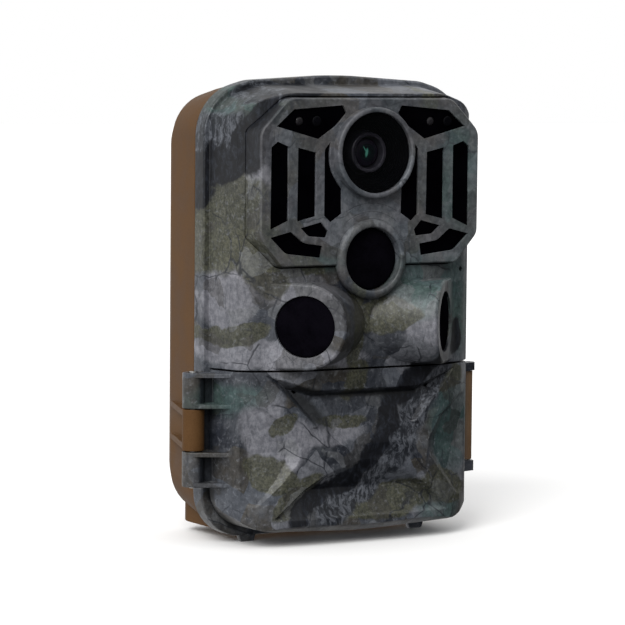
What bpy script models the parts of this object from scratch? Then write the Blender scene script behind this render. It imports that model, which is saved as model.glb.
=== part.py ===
"""Trail camera: camouflage front, hinged lower door, brown rear case, sliding battery tray.

Frame: metres, +X to the right of someone who faces the front, +Y towards the back, +Z up.
The origin is in the middle of the base plane. Every size below is in millimetres and is multiplied
by MM where a mesh is made. In these sizes Y = 0 is the front of the grille panel, and finish()
moves each piece forward by ORIGIN_Y.
"""

import math

import bmesh
import bpy
from mathutils import Vector

MM = 0.001
ORIGIN_Y = 25.0  # the frame's origin, counted back from the front of the grille panel
GAP = 0.3  # clearance between neighbouring pieces
SEGMENTS = 28  # around a large circle
SMALL_SEGMENTS = 12  # around a small circle

# Casing
HALF_WIDTH = 45.6  # of the rim
RIM_FRONT = 20.3
RIM_BACK = 26.0
RIM_BOTTOM = 1.9
RIM_WALL = 3.0
DECK_WALL_BACK = 22.6  # the lower front shell is a wall from RIM_FRONT to here
SPLIT = 52.7  # height of the seam between the upper face and the door
FACE_FRONT = 1.7  # flat middle of the face
CASE_BACK = 54.0
BASE_HALF_WIDTH = 36.0
BASE_BOTTOM = 2.9
FOOT_X = 29.8  # middle of each front foot
REAR_FOOT_BACK = 57.0
REAR_FOOT_HALF_WIDTH = 13.0
STRAP_RIB = (62.0, 110.0)  # foot and head of the two ribs that the strap passes through
RIB_BACK = 62.0
TRIPOD_Z = 84.0
TRIPOD_BOSS_RADIUS = 8.4
TRIPOD_INSERT_RADIUS = 6.3

# Lens and sensors
LENS_Z = 116.9
LENS_RING_RADIUS = 13.5
SENSOR_Z = 85.4
SENSOR_RING_RADIUS = 11.9
SIDE_SENSOR = (24.5, -3.15, 66.1)  # centre of the right-hand boss's front
SIDE_SENSOR_TURN = math.radians(46.5)  # how far each side sensor faces outwards
SIDE_BOSS_RADIUS = 12.8
SIDE_WINDOW_RADIUS = 9.0

# Grille panel
PANEL_DEPTH = 7.7
PANEL_PLATE = 1.9
PANEL_POCKET_INSET = 2.2
COLUMN_HALF_WIDTH = 8.2
LENS_COLUMN_RADIUS = 14.3
SENSOR_COLUMN_RADIUS = 15.0

# Door hinge and latch
HINGE_X = -48.8
HINGE_Y = 20.0
HINGE_RADIUS = 3.3
HINGE_PIN_RADIUS = 1.2
DOOR_KNUCKLES = ((17.9, 28.3), (41.3, 51.8))
CASE_KNUCKLE = (28.6, 41.0)
FLANGE = 1.3
LATCH_X = 46.9
LATCH_Y = 19.0
LATCH_LUG_RADIUS = 2.4
LATCH_LUGS = ((17.4, 20.5), (48.7, 51.2))
LATCH_SPAN = (20.8, 48.4)
LATCH_PIN_RADIUS = 0.9
DOOR_BACK = 19.9
DOOR_BOTTOM = 3.5  # in the middle; the lower edge rises by DOOR_RISE towards both sides
DOOR_RISE = 2.1
DOOR_WALL = 2.2
DOOR_HOLLOW_BOTTOM = 6.0

# Battery tray
CELL_RADIUS = 7.1
CELL_LENGTH = 49.5
CELL_PITCH = 14.8
CELL_ROWS_Y = (30.1, 44.8)
CELL_BOTTOM = 5.3
TRAY_HALF_WIDTH = 31.2
TRAY_FRONT = 22.95
TRAY_BACK = 52.1
TRAY_BOTTOM = 3.2
TRAY_FLOOR = 5.0
TRAY_ROOF = 56.1
TRAY_TOP = 57.3

# Control deck
DECK_HALF_WIDTH = 34.0
DECK_FRONT = 11.6
DECK_BACK = 20.0
DECK_BOTTOM = 8.6
DECK_TOP = 49.2
KEY_RADIUS = 2.5
KEY_COLUMNS = (17.5, 27.0)
KEY_ROWS = (25.0, 34.0, 43.0)
KEY_NAMES = ("menu", "ok", "up", "replay", "mode", "down")

# Case screws
SCREW_PLACES = ((-32.0, 67.0), (32.0, 67.0), (-29.0, 116.5), (29.0, 116.5))


# ---------------------------------------------------------------- outlines


def rounded(corners, steps=4):
    """Closed outline through (a, b, radius) corners, each corner turned by an arc."""
    points = []
    count = len(corners)
    for index, (a, b, radius) in enumerate(corners):
        here = Vector((a, b))
        if radius == 0:
            points.append((a, b))
            continue
        before = Vector(corners[index - 1][:2]) - here
        after = Vector(corners[(index + 1) % count][:2]) - here
        half = before.angle(after) / 2
        middle = (before.normalized() + after.normalized()).normalized()
        centre = here + middle * (radius / math.sin(half))
        start = here + before.normalized() * (radius / math.tan(half)) - centre
        turn = start.angle_signed(here + after.normalized() * (radius / math.tan(half)) - centre)
        for step in range(steps + 1):
            angle = -turn * step / steps
            arm = Vector((
                start.x * math.cos(angle) - start.y * math.sin(angle),
                start.x * math.sin(angle) + start.y * math.cos(angle),
            ))
            points.append(tuple(centre + arm))
    return points


def symmetric(right_half):
    """Corner list from bottom to top on the right, completed by its mirror image on the left."""
    left = [(-a, b, radius) for a, b, radius in reversed(right_half) if a > 0]
    return right_half + left


def rectangle(a0, b0, a1, b1, radius=0.0):
    return [(a0, b0, radius), (a1, b0, radius), (a1, b1, radius), (a0, b1, radius)]


# ---------------------------------------------------------------- solids


def body_from(sections, closed_ring=False):
    """Closed body through sections of 3-D points, capped at both ends or joined end to end."""
    mesh = bmesh.new()
    rows = [[mesh.verts.new(Vector(point) * MM) for point in section] for section in sections]
    pairs = list(zip(rows, rows[1:]))
    if closed_ring:
        pairs.append((rows[-1], rows[0]))
    for low, high in pairs:
        for index in range(len(low)):
            after = (index + 1) % len(low)
            mesh.faces.new((low[index], low[after], high[after], high[index]))
    if not closed_ring:
        mesh.faces.new(rows[0])
        mesh.faces.new(rows[-1])
    bmesh.ops.recalc_face_normals(mesh, faces=mesh.faces)
    data = bpy.data.meshes.new("body")
    mesh.to_mesh(data)
    mesh.free()
    piece = bpy.data.objects.new("body", data)
    bpy.context.scene.collection.objects.link(piece)
    return piece


def along_y(sections, steps=4):
    """Body through (y, corners) sections, with corners in X and Z."""
    return body_from([[(x, y, z) for x, z in rounded(corners, steps)] for y, corners in sections])


def prism_y(corners, y0, y1, steps=4):
    return along_y([(y0, corners), (y1, corners)], steps)


def prism_z(corners, z0, z1, steps=4):
    outline = rounded(corners, steps)
    return body_from([[(x, y, z) for x, y in outline] for z in (z0, z1)])


def prism_x(corners, x0, x1, steps=4):
    outline = rounded(corners, steps)
    return body_from([[(x, y, z) for y, z in outline] for x in (x0, x1)])


def box(low, high):
    return prism_z(rectangle(low[0], low[1], high[0], high[1]), low[2], high[2])


def frame_of(axis):
    """Two unit vectors square to the axis."""
    axis = Vector(axis).normalized()
    helper = Vector((0, 0, 1)) if abs(axis.z) < 0.9 else Vector((1, 0, 0))
    across = axis.cross(helper).normalized()
    return axis, across, across.cross(axis)


def turned(centre, axis, stations, segments=SEGMENTS):
    """Solid of revolution through (distance along axis, radius) stations."""
    axis, across, up = frame_of(axis)
    sections = []
    for distance, radius in stations:
        middle = Vector(centre) + axis * distance
        angles = [2 * math.pi * k / segments for k in range(segments)]
        sections.append([
            tuple(middle + across * (radius * math.cos(a)) + up * (radius * math.sin(a)))
            for a in angles
        ])
    return body_from(sections)


def ring(centre, axis, profile, segments=SEGMENTS):
    """Ring swept from a closed (distance along axis, radius) profile."""
    axis, across, up = frame_of(axis)
    sections = []
    for k in range(segments):
        angle = 2 * math.pi * k / segments
        arm = across * math.cos(angle) + up * math.sin(angle)
        sections.append([
            tuple(Vector(centre) + axis * distance + arm * radius) for distance, radius in profile
        ])
    return body_from(sections, closed_ring=True)


def rod(centre, axis, length, radius, segments=SMALL_SEGMENTS):
    return turned(centre, axis, ((0, radius), (length, radius)), segments)


def tube(centre, axis, length, inner, outer, segments=SEGMENTS):
    profile = ((0, inner), (length, inner), (length, outer), (0, outer))
    return ring(centre, axis, profile, segments)


# ---------------------------------------------------------------- booleans


def combine(piece, tools, operation):
    for tool in tools:
        modifier = piece.modifiers.new("Combine", "BOOLEAN")
        modifier.operation = operation
        modifier.solver = "EXACT"
        modifier.object = tool
        graph = bpy.context.evaluated_depsgraph_get()
        data = bpy.data.meshes.new_from_object(piece.evaluated_get(graph))
        piece.modifiers.clear()
        piece.data = data
        bpy.data.objects.remove(tool)
    return piece


def cut(piece, *tools):
    return combine(piece, tools, "DIFFERENCE")


def join(piece, *others):
    return combine(piece, others, "UNION")


def common(piece, other):
    return combine(piece, (other,), "INTERSECT")


# ---------------------------------------------------------------- nodes


def material(name, colour, roughness, metallic=0.0):
    made = bpy.data.materials.new(name)
    made.use_nodes = True
    shader = made.node_tree.nodes["Principled BSDF"]
    shader.inputs["Base Color"].default_value = (*colour, 1.0)
    shader.inputs["Roughness"].default_value = roughness
    shader.inputs["Metallic"].default_value = metallic
    made.diffuse_color = (*colour, 1.0)
    return made


def finish(piece, name, colour, roughness, metallic=0.0, pivot=(0, 0, 0)):
    """Name the piece, paint it and put its origin on the pivot of its joint."""
    piece.name = name
    piece.data.name = name
    for vertex in piece.data.vertices:
        vertex.co -= Vector(pivot) * MM
    piece.location = (Vector(pivot) - Vector((0, ORIGIN_Y, 0))) * MM
    piece.data.materials.clear()
    piece.data.materials.append(material(name, colour, roughness, metallic))
    piece.data.shade_smooth()
    piece.data.set_sharp_from_angle(angle=math.radians(35))
    return piece


CAMOUFLAGE = (0.33, 0.35, 0.34)
BROWN = (0.20, 0.13, 0.08)
BLACK = (0.01, 0.01, 0.012)
DARK = (0.03, 0.03, 0.035)
GREY = (0.30, 0.30, 0.31)
GREEN = (0.02, 0.16, 0.06)
STEEL = (0.55, 0.55, 0.55)


# ---------------------------------------------------------------- casing

RIM = symmetric([
    (HALF_WIDTH, RIM_BOTTOM, 13.5), (HALF_WIDTH, 133.4, 16.0), (29.5, 138.0, 14.0), (0.0, 139.8, 120.0),
])
RIM_NOSE = symmetric([(45.0, 2.5, 13.0), (45.0, 133.0, 15.6), (29.2, 137.4, 14.0), (0.0, 139.2, 120.0)])
RIM_INSIDE = symmetric([
    (HALF_WIDTH - RIM_WALL, RIM_BOTTOM + RIM_WALL, 10.5),
    (HALF_WIDTH - RIM_WALL, 131.0, 13.0),
    (28.5, 134.9, 12.0),
    (0.0, 136.7, 120.0),
])


def face_block(z0, z1):
    """The bowed front, standing from z0 to z1: flat in the middle, falling back at both sides."""
    plan = [(43.8, 20.9, 0.0), (40.4, 9.5, 1.0), (36.5, 6.2, 12.0), (24.0, FACE_FRONT, 20.0)]
    mirror = [(-x, y, radius) for x, y, radius in reversed(plan)]
    return prism_z(plan + mirror, z0, z1)


def rounded_top(width, top, corner):
    return symmetric([
        (width, SPLIT + 0.2, 0.0),
        (width, top - 6.2, corner),
        (width * 0.62, top - 0.8, 20.0),
    ])


def side_frame(side):
    """Centre, forward axis and outward axis of a side sensor; side is -1 or 1."""
    x, y, z = SIDE_SENSOR
    forward = Vector((side * math.sin(SIDE_SENSOR_TURN), -math.cos(SIDE_SENSOR_TURN), 0))
    outward = Vector((side * math.cos(SIDE_SENSOR_TURN), math.sin(SIDE_SENSOR_TURN), 0))
    return Vector((side * x, y, z)), forward, outward


def side_boss(side):
    """A short barrel that faces outwards, with a straight-sided outer half."""
    centre, forward, outward = side_frame(side)
    up = Vector((0, 0, 1))
    radius = SIDE_BOSS_RADIUS
    steps = 12
    outline = [(radius * 1.25, radius), (0.0, radius)]
    for k in range(1, steps):
        angle = math.pi / 2 + math.pi * k / steps
        outline.append((radius * math.cos(angle), radius * math.sin(angle)))
    outline += [(0.0, -radius), (radius * 1.25, -radius)]
    sections = []
    for depth, inset in ((0.0, 0.6), (0.7, 0.0), (23.0, 0.0)):
        share = 1 - inset / radius
        sections.append([
            tuple(centre - forward * depth + outward * (u * share) + up * (v * share))
            for u, v in outline
        ])
    return body_from(sections)


def make_front_shell():
    shell = common(
        face_block(SPLIT, 145.0),
        along_y([(-2.0, rounded_top(42.2, 134.7, 14.0)), (21.2, rounded_top(44.6, 137.7, 14.0))]),
    )
    rim = along_y([(RIM_FRONT, RIM_NOSE), (RIM_FRONT + 0.7, RIM), (RIM_BACK, RIM)])
    join(shell, rim)
    for side in (-1, 1):
        middle = side * FOOT_X
        foot = [
            (middle - 2.2, 0.0, 0.6), (middle + 2.2, 0.0, 0.6), (middle + 4.0, 5.0, 0.0),
            (middle + 4.0, 9.0, 0.0), (middle - 4.0, 9.0, 0.0), (middle - 4.0, 5.0, 0.0),
        ]
        tab = prism_y(foot, RIM_FRONT + 0.3, RIM_FRONT + 2.2)
        join(shell, side_boss(side), tab)
    wall = prism_y(RIM_INSIDE, DECK_WALL_BACK, RIM_BACK + 2)
    upper = prism_y(rectangle(-38.6, 57.0, 38.6, 131.0, 9.0), 12.6, RIM_BACK + 3)
    middle = prism_y(rectangle(-19.0, 58.0, 19.0, 76.0, 3.0), 4.9, 13.5)
    cut(shell, wall, upper, middle)
    seat = along_y([(-4.0, panel_outline(GAP + 0.1)), (PANEL_DEPTH + GAP, panel_outline(GAP + 1.0))])
    cut(shell, seat)
    for side in (-1, 1):
        near, far = sorted((side * 11.0, side * 33.0))
        lamp = prism_y(rectangle(near, 94.0, far, 121.0, 2.0), 6.0, 14.0)
        centre, forward, _ = side_frame(side)
        socket = turned(centre + forward * 2, -forward, (
            (0.0, SIDE_WINDOW_RADIUS + GAP), (4.8, SIDE_WINDOW_RADIUS + GAP), (4.9, 7.4), (20.0, 7.4),
        ))
        cut(shell, lamp, socket)
    cut(
        shell,
        rod((0, -4, LENS_Z), (0, 1, 0), 20, LENS_RING_RADIUS + GAP, SEGMENTS),
        rod((0, -4, SENSOR_Z), (0, 1, 0), 5.4, SENSOR_RING_RADIUS + GAP, SEGMENTS),
        rod((0, -4, SENSOR_Z), (0, 1, 0), 20, 10.9, SEGMENTS),
        rod((35.7, -1, 81.2), (0, 1, 0), 16, 0.8, 8),
    )
    for x, z in SCREW_PLACES:
        post = rod((x, 12.0, z), (0, 1, 0), RIM_BACK - GAP - 12.0, 3.5, 10)
        near, far = sorted((x, math.copysign(39.5, x)))
        join(shell, post, box((near, 14.0, z - 0.9), (far, 22.0, z + 0.9)))
        cut(shell, rod((x, 15.5, z), (0, 1, 0), 14, 1.8, 8))
    tray_slot = box((-TRAY_HALF_WIDTH - GAP, DECK_WALL_BACK, -1), (TRAY_HALF_WIDTH + GAP, 30, 8))
    cut(shell, tray_slot)
    finish(shell, "front_shell", CAMOUFLAGE, 0.5)


def case_section(inset, y, width, low, high, corner, crown):
    return (y, symmetric([
        (width - inset, low + inset, corner),
        (width - inset, high - 5.6 - inset, corner),
        (width * 0.6, high - inset, 20.0),
        (0.0, high + crown - inset, 120.0),
    ]))


def case_body(inset, front, back):
    return along_y([
        case_section(inset, front, 45.4, 2.3, 138.0, 15.0, 1.2),
        case_section(inset, 46.0, 42.6, 6.0, 135.8, 14.0, 0.4),
        case_section(inset, back - 2.6, 40.2, 8.6, 133.2, 13.0, 0.4),
        case_section(inset, back, 37.0, 11.8, 129.8, 12.0, 0.4),
    ])


def gusset(z0, z1):
    """Flat rib that ties the hinge knuckle to the side of the case."""
    corners = [
        (HINGE_X - HINGE_RADIUS * 0.95, HINGE_Y + 0.6, 0.0),
        (HINGE_X + 1.5, HINGE_Y + 0.6, 0.0),
        (HINGE_X + 1.5, RIM_BACK + GAP, 0.0),
        (-40.0, RIM_BACK + GAP, 0.0),
        (-40.0, 46.0, 0.0),
        (-42.6, 46.0, 0.0),
    ]
    return prism_z(corners, z0, z1)


def make_rear_case():
    case = case_body(0.0, RIM_BACK + GAP, CASE_BACK)
    base = prism_z([
        (-BASE_HALF_WIDTH, RIM_BACK + GAP, 0.0), (BASE_HALF_WIDTH, RIM_BACK + GAP, 0.0),
        (BASE_HALF_WIDTH, CASE_BACK, 7.0), (-BASE_HALF_WIDTH, CASE_BACK, 7.0),
    ], BASE_BOTTOM, 20.0)
    foot = prism_x([
        (CASE_BACK - 1.5, 0.0, 0.0), (REAR_FOOT_BACK, 0.0, 0.6), (REAR_FOOT_BACK, 7.0, 1.0),
        (CASE_BACK - 0.6, 15.0, 0.0), (CASE_BACK - 1.5, 15.0, 0.0),
    ], -REAR_FOOT_HALF_WIDTH, REAR_FOOT_HALF_WIDTH)
    join(case, base, foot)
    hollow = case_body(2.0, RIM_BACK - 1, CASE_BACK - 1.7)
    shelf = box((-50, 20, 57.6), (50, 60, 59.4))
    cut(hollow, shelf)
    cut(case, hollow)
    bay = prism_z(rectangle(-TRAY_HALF_WIDTH - GAP, 20.0, TRAY_HALF_WIDTH + GAP, 52.4, 3.0), -2.0, 24.0)
    cut(case, bay)
    low, high = CASE_KNUCKLE
    knuckle = rod((HINGE_X, HINGE_Y, low), (0, 0, 1), high - low, HINGE_RADIUS, 20)
    join(case, knuckle, gusset(low + 0.4, low + 2.2), gusset(high - 2.2, high - 0.4))
    web = prism_z([
        (HINGE_X - 0.8, HINGE_Y + 1.0, 0.0), (HINGE_X + 0.8, HINGE_Y + 1.0, 0.0),
        (HINGE_X + 4.6, 32.0, 0.0), (HINGE_X + 2.8, 32.0, 0.0),
    ], low + 1.0, high - 1.0)
    join(case, web)
    cut(case, rod((HINGE_X, HINGE_Y, low - 1), (0, 0, 1), high - low + 2, HINGE_PIN_RADIUS + GAP))
    catch = prism_z([(43.0, 28.6, 0.0), (46.4, 28.9, 0.0), (46.4, 30.4, 0.0), (43.0, 31.8, 0.0)], 26, 43)
    join(case, catch)
    low, high = STRAP_RIB
    for side in (-1, 1):
        rib = prism_x([
            (53.0, low, 0.0), (58.6, low + 2.0, 1.0), (RIB_BACK, low + 6.0, 1.0),
            (RIB_BACK, high - 6.0, 1.0), (58.6, high - 2.0, 1.0), (53.0, high, 0.0),
        ], side * 24.0, side * 28.5)
        slot = prism_x(rectangle(54.5, low + 9, 59.2, high - 9, 1.0), side * 20.0, side * 33.0)
        join(case, rib)
        cut(case, slot)
    boss = rod((0, 43.5, TRIPOD_Z), (0, 1, 0), CASE_BACK - 43.7, TRIPOD_BOSS_RADIUS, 16)
    join(case, boss)
    cut(
        case,
        rod((0, 46.3, TRIPOD_Z), (0, 1, 0), 12.0, TRIPOD_INSERT_RADIUS + GAP, 16),
        rod((0, 40, TRIPOD_Z), (0, 1, 0), 10.0, 2.6, 8),
    )
    for x, z in SCREW_PLACES:
        join(case, rod((x, RIM_BACK + GAP, z), (0, 1, 0), 27.0, 4.3, 10))
        cut(case, turned((x, 0, z), (0, 1, 0), ((20.0, 1.8), (46.6, 1.8), (46.7, 3.2), (60.0, 3.2)), 10))
    finish(case, "rear_case", BROWN, 0.55)


# ---------------------------------------------------------------- grille panel


def panel_outline(grow=0.0):
    return symmetric([
        (30.0 + grow * 0.4, 83.6 - grow, 3.0),
        (37.7 + grow, 92.4 - grow * 0.4, 4.0),
        (37.8 + grow, 123.2 + grow * 0.4, 5.0),
        (28.3 + grow * 0.4, 133.0 + grow, 5.0),
    ])


def column(grow=0.0):
    """The middle of the panel, which carries the lens ring and the centre sensor ring."""
    neck = box((-COLUMN_HALF_WIDTH - grow, -5, 80), (COLUMN_HALF_WIDTH + grow, 12, 140))
    lens = rod((0, -6, LENS_Z), (0, 1, 0), 19, LENS_COLUMN_RADIUS + grow, SEGMENTS)
    sensor = rod((0, -6.5, SENSOR_Z), (0, 1, 0), 20, SENSOR_COLUMN_RADIUS + grow, SEGMENTS)
    return join(neck, lens, sensor)


def panel_pocket(inset, y0, y1, grow):
    pocket = prism_y(panel_outline(-inset), y0, y1)
    return cut(pocket, column(grow))


PANEL_WINDOWS = (
    ((32.6, 124.7, 0.0), (26.9, 129.5, 0.0), (10.1, 130.9, 0.0), (8.9, 128.6, 0.0),
     (12.4, 124.9, 5.0), (18.4, 120.9, 0.0)),
    ((34.3, 94.6, 0.0), (34.3, 118.6, 0.0), (32.2, 120.3, 0.0), (28.5, 118.9, 0.0), (28.5, 97.1, 0.0)),
    ((25.3, 96.9, 0.0), (25.3, 118.5, 0.0), (19.2, 117.0, 0.0), (19.2, 98.3, 0.0)),
    ((14.0, 96.4, 0.0), (16.2, 98.4, 0.0), (16.2, 118.0, 0.0), (14.3, 120.2, 0.0),
     (14.9, 112.4, 12.0), (10.3, 106.2, 0.0), (10.2, 98.9, 0.0)),
    ((21.5, 92.5, 1.5), (24.2, 94.9, 0.0), (17.4, 96.6, 0.0), (14.9, 93.9, 0.0), (15.6, 92.0, 0.0)),
    ((29.2, 87.5, 3.0), (34.3, 92.3, 0.0), (27.6, 94.0, 0.0), (23.2, 90.4, 5.0), (16.8, 89.6, 0.0),
     (17.4, 86.1, 0.0)),
)


def make_grille_panel():
    panel = along_y([
        (0.0, panel_outline(-0.35)), (0.5, panel_outline(0.0)), (PANEL_DEPTH, panel_outline(0.9)),
    ])
    cut(panel, panel_pocket(PANEL_POCKET_INSET, PANEL_PLATE, PANEL_DEPTH + 2, 0.0))
    for window in PANEL_WINDOWS:
        for side in (-1, 1):
            corners = [(side * x, z, radius) for x, z, radius in window]
            cut(panel, prism_y(corners, -2.0, PANEL_PLATE + 0.6, 3))
    cut(
        panel,
        rod((0, -3, LENS_Z), (0, 1, 0), 14, LENS_RING_RADIUS - 0.8, SEGMENTS),
        rod((0, -3, SENSOR_Z), (0, 1, 0), 14, SENSOR_RING_RADIUS + GAP, SEGMENTS),
    )
    finish(panel, "grille_panel", CAMOUFLAGE, 0.45)


def make_infrared_windows():
    for side, name in ((-1, "left"), (1, "right")):
        window = panel_pocket(PANEL_POCKET_INSET + GAP, PANEL_PLATE + GAP, PANEL_PLATE + GAP + 1.3, GAP)
        half = box(
            (min(0, side * 50), -5, 60),
            (max(0, side * 50), 20, 150),
        )
        common(window, half)
        for x, radius in WINDOW_LAMPS[name]:
            cut(window, rod((x, -1, 126.2), (0, 1, 0), 9, radius + GAP))
        finish(window, f"infrared_window_{name}", BLACK, 0.12)


WINDOW_LAMPS = {"left": ((-24.5, 1.5), (-18.6, 1.7)), "right": ((20.9, 1.5), (27.0, 1.7))}


def make_window_lamps():
    for side, lamps in WINDOW_LAMPS.items():
        (lamp_x, lamp_radius), (sensor_x, sensor_radius) = lamps
        stations = ((0.0, 0.8), (0.4, lamp_radius * 0.9), (0.8, lamp_radius), (3.6, lamp_radius))
        lamp = turned((lamp_x, PANEL_PLATE + 0.1, 126.2), (0, 1, 0), stations, 12)
        finish(lamp, f"signal_lamp_{side}", (0.6, 0.5, 0.5), 0.15)
        eye = rod((sensor_x, PANEL_PLATE + 0.5, 126.2), (0, 1, 0), 3.0, sensor_radius)
        finish(eye, f"light_sensor_{side}", DARK, 0.2)


def make_infrared_lamps():
    """A lamp board behind each infrared window, with a grid of lamps on it."""
    for side, name in ((-1, "left"), (1, "right")):
        x0, x1 = sorted((side * 16.6, side * 33.0))
        board = box((x0, 6.0, 96.5), (x1, 7.2, 119.5))
        for lamp_column in range(3):
            for row in range(4):
                x = x0 + 3.0 + lamp_column * 5.2
                z = 99.5 + row * 5.7
                join(board, turned((x, 6.6, z), (0, -1, 0), ((0, 1.7), (2.2, 1.5)), 6))
        finish(board, f"infrared_lamps_{name}", GREEN, 0.4)


# ---------------------------------------------------------------- lens


def make_lens_group():
    centre = (0, 0, LENS_Z)
    inner = LENS_RING_RADIUS - 1.55
    spigot = LENS_RING_RADIUS - 1.1
    lens_ring = ring(centre, (0, 1, 0), (
        (-3.1, inner + 0.2), (-3.1, 13.0), (-2.7, LENS_RING_RADIUS), (-GAP, LENS_RING_RADIUS),
        (-GAP, spigot), (7.4, spigot), (7.4, inner), (-2.8, inner),
    ), 32)
    finish(lens_ring, "lens_ring", CAMOUFLAGE, 0.4)
    cover = rod((0, -2.9, LENS_Z), (0, 1, 0), 0.7, inner - GAP, SEGMENTS)
    finish(cover, "lens_cover", (0.8, 0.8, 0.8), 0.03)
    shroud = ring(centre, (0, 1, 0), (
        (-1.9, 10.9), (-1.9, inner - GAP), (-1.0, inner - GAP), (6.0, 7.9), (7.0, 7.9), (7.0, 6.9),
        (5.2, 6.9),
    ))
    finish(shroud, "lens_shroud", BLACK, 0.5)
    barrel = ring(centre, (0, 1, 0), (
        (1.6, 5.0), (1.6, 6.0), (8.0, 6.2), (8.0, 7.4), (18.6, 7.4), (18.6, 4.6), (4.0, 4.6),
    ), 20)
    finish(barrel, "lens_barrel", GREY, 0.35, 0.6)
    stations = ((0.0, 1.6), (0.4, 3.2), (0.9, 4.2), (3.0, 4.25))
    element = turned((0, 2.6, LENS_Z), (0, 1, 0), stations, 16)
    finish(element, "lens_element", (0.01, 0.03, 0.03), 0.02)
    filter_plate = box((-5.6, 19.2, LENS_Z - 4.5), (14.4, 20.2, LENS_Z + 4.5))
    cut(filter_plate, rod((0, 18, LENS_Z), (0, 1, 0), 4, 3.4))
    finish(filter_plate, "infrared_cut_filter", (0.2, 0.25, 0.3), 0.2, pivot=(0, 19.7, LENS_Z))
    board = box((-12.0, 21.4, LENS_Z - 12.0), (12.0, 22.8, LENS_Z + 12.0))
    finish(board, "sensor_board", GREEN, 0.4)


# ---------------------------------------------------------------- motion sensors


def make_motion_sensors():
    outer = SENSOR_RING_RADIUS
    inner = 9.35
    sensor_ring = ring((0, 0, SENSOR_Z), (0, 1, 0), (
        (-1.2, inner), (-1.7, inner + 0.5), (-1.7, 10.6), (-1.1, 11.5), (-0.2, outer), (1.1, outer),
        (1.1, 10.6), (8.4, 10.6), (8.4, inner),
    ), 32)
    finish(sensor_ring, "motion_ring_center", CAMOUFLAGE, 0.4)
    dome = ((0.0, 5.0), (0.5, 8.4), (0.9, 9.05), (2.2, 9.05))
    window = turned((0, 0.2, SENSOR_Z), (0, 1, 0), dome)
    finish(window, "motion_window_center", BLACK, 0.35)
    can = rod((0, 8.0, SENSOR_Z), (0, 1, 0), 4.0, 4.1)
    finish(can, "motion_sensor_center", STEEL, 0.3, 1.0)
    for side, name in ((-1, "left"), (1, "right")):
        centre, forward, _ = side_frame(side)
        window = turned(centre - forward * 0.1, -forward, dome)
        finish(window, f"motion_window_{name}", BLACK, 0.35)
        can = rod(centre - forward * 9.0, -forward, 4.0, 4.1)
        finish(can, f"motion_sensor_{name}", STEEL, 0.3, 1.0)


# ---------------------------------------------------------------- door, hinge and latch


def door_outline(width, bottom, corner):
    return [
        (width, SPLIT - GAP, 0.0), (-width, SPLIT - GAP, 0.0),
        (-width, bottom + DOOR_RISE, corner), (0.0, bottom, 200.0), (width, bottom + DOOR_RISE, corner),
    ]


def hinge_arm(z0, z1):
    """One door knuckle: a barrel between two flanges that run forward to the door's side."""
    barrel = rod((HINGE_X, HINGE_Y, z0), (0, 0, 1), z1 - z0, HINGE_RADIUS, 20)
    flange = [
        (HINGE_X - 2.6, HINGE_Y - 1.0, 0.0), (HINGE_X - 1.2, HINGE_Y - HINGE_RADIUS, 0.0),
        (-41.0, 11.6, 0.0), (-41.0, 19.4, 0.0), (HINGE_X, DOOR_BACK, 0.0),
    ]
    web = [
        (HINGE_X + 1.0, HINGE_Y - 1.4, 0.0), (-41.4, 18.4, 0.0), (-41.4, 19.6, 0.0),
        (HINGE_X + 1.0, HINGE_Y - 0.4, 0.0),
    ]
    return join(
        barrel,
        prism_z(flange, z0, z0 + FLANGE),
        prism_z(flange, z1 - FLANGE, z1),
        prism_z(web, z0 + 0.5, z1 - 0.5),
    )


def make_door():
    door = common(
        face_block(-5.0, SPLIT - GAP),
        along_y([
            (0.5, door_outline(43.4, 5.8, 13.0)),
            (5.0, door_outline(43.6, DOOR_BOTTOM, 13.0)),
            (DOOR_BACK, door_outline(43.9, DOOR_BOTTOM, 12.5)),
        ]),
    )
    hollow = common(
        prism_z([
            (41.0, 21.0, 0.0), (37.6, 10.4, 0.0), (34.6, 8.4, 0.0), (23.0, 4.2, 0.0),
            (-23.0, 4.2, 0.0), (-34.6, 8.4, 0.0), (-37.6, 10.4, 0.0), (-41.0, 21.0, 0.0),
        ], DOOR_HOLLOW_BOTTOM, SPLIT - DOOR_WALL),
        prism_y([
            (40.8, 60.0, 0.0), (-40.8, 60.0, 0.0),
            (-40.8, DOOR_HOLLOW_BOTTOM, 10.5), (40.8, DOOR_HOLLOW_BOTTOM, 10.5),
        ], 2.0, 24.0),
    )
    cut(door, hollow)
    for z0, z1 in DOOR_KNUCKLES:
        join(door, hinge_arm(z0, z1))
        cut(door, rod((HINGE_X, HINGE_Y, z0 - 1), (0, 0, 1), z1 - z0 + 2, HINGE_PIN_RADIUS + GAP))
    for z0, z1 in LATCH_LUGS:
        lug = prism_z([
            (41.2, 14.6, 0.0), (LATCH_X + 1.6, LATCH_Y - LATCH_LUG_RADIUS, 1.2),
            (LATCH_X + LATCH_LUG_RADIUS, LATCH_Y, 1.2),
            (LATCH_X + 1.6, LATCH_Y + LATCH_LUG_RADIUS - 1.2, 1.0), (41.2, DOOR_BACK - 0.2, 0.0),
        ], z0, z1, 3)
        join(door, lug)
    cut(door, rod((LATCH_X, LATCH_Y, 10), (0, 0, 1), 50, LATCH_PIN_RADIUS + GAP, 12))
    finish(door, "door_cover", CAMOUFLAGE, 0.45, pivot=(HINGE_X, HINGE_Y, 35))

    low = DOOR_KNUCKLES[0][0]
    high = DOOR_KNUCKLES[1][1]
    pin = rod((HINGE_X, HINGE_Y, low - 0.4), (0, 0, 1), high - low + 0.8, HINGE_PIN_RADIUS, 12)
    finish(pin, "hinge_pin", STEEL, 0.3, 1.0)


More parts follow.
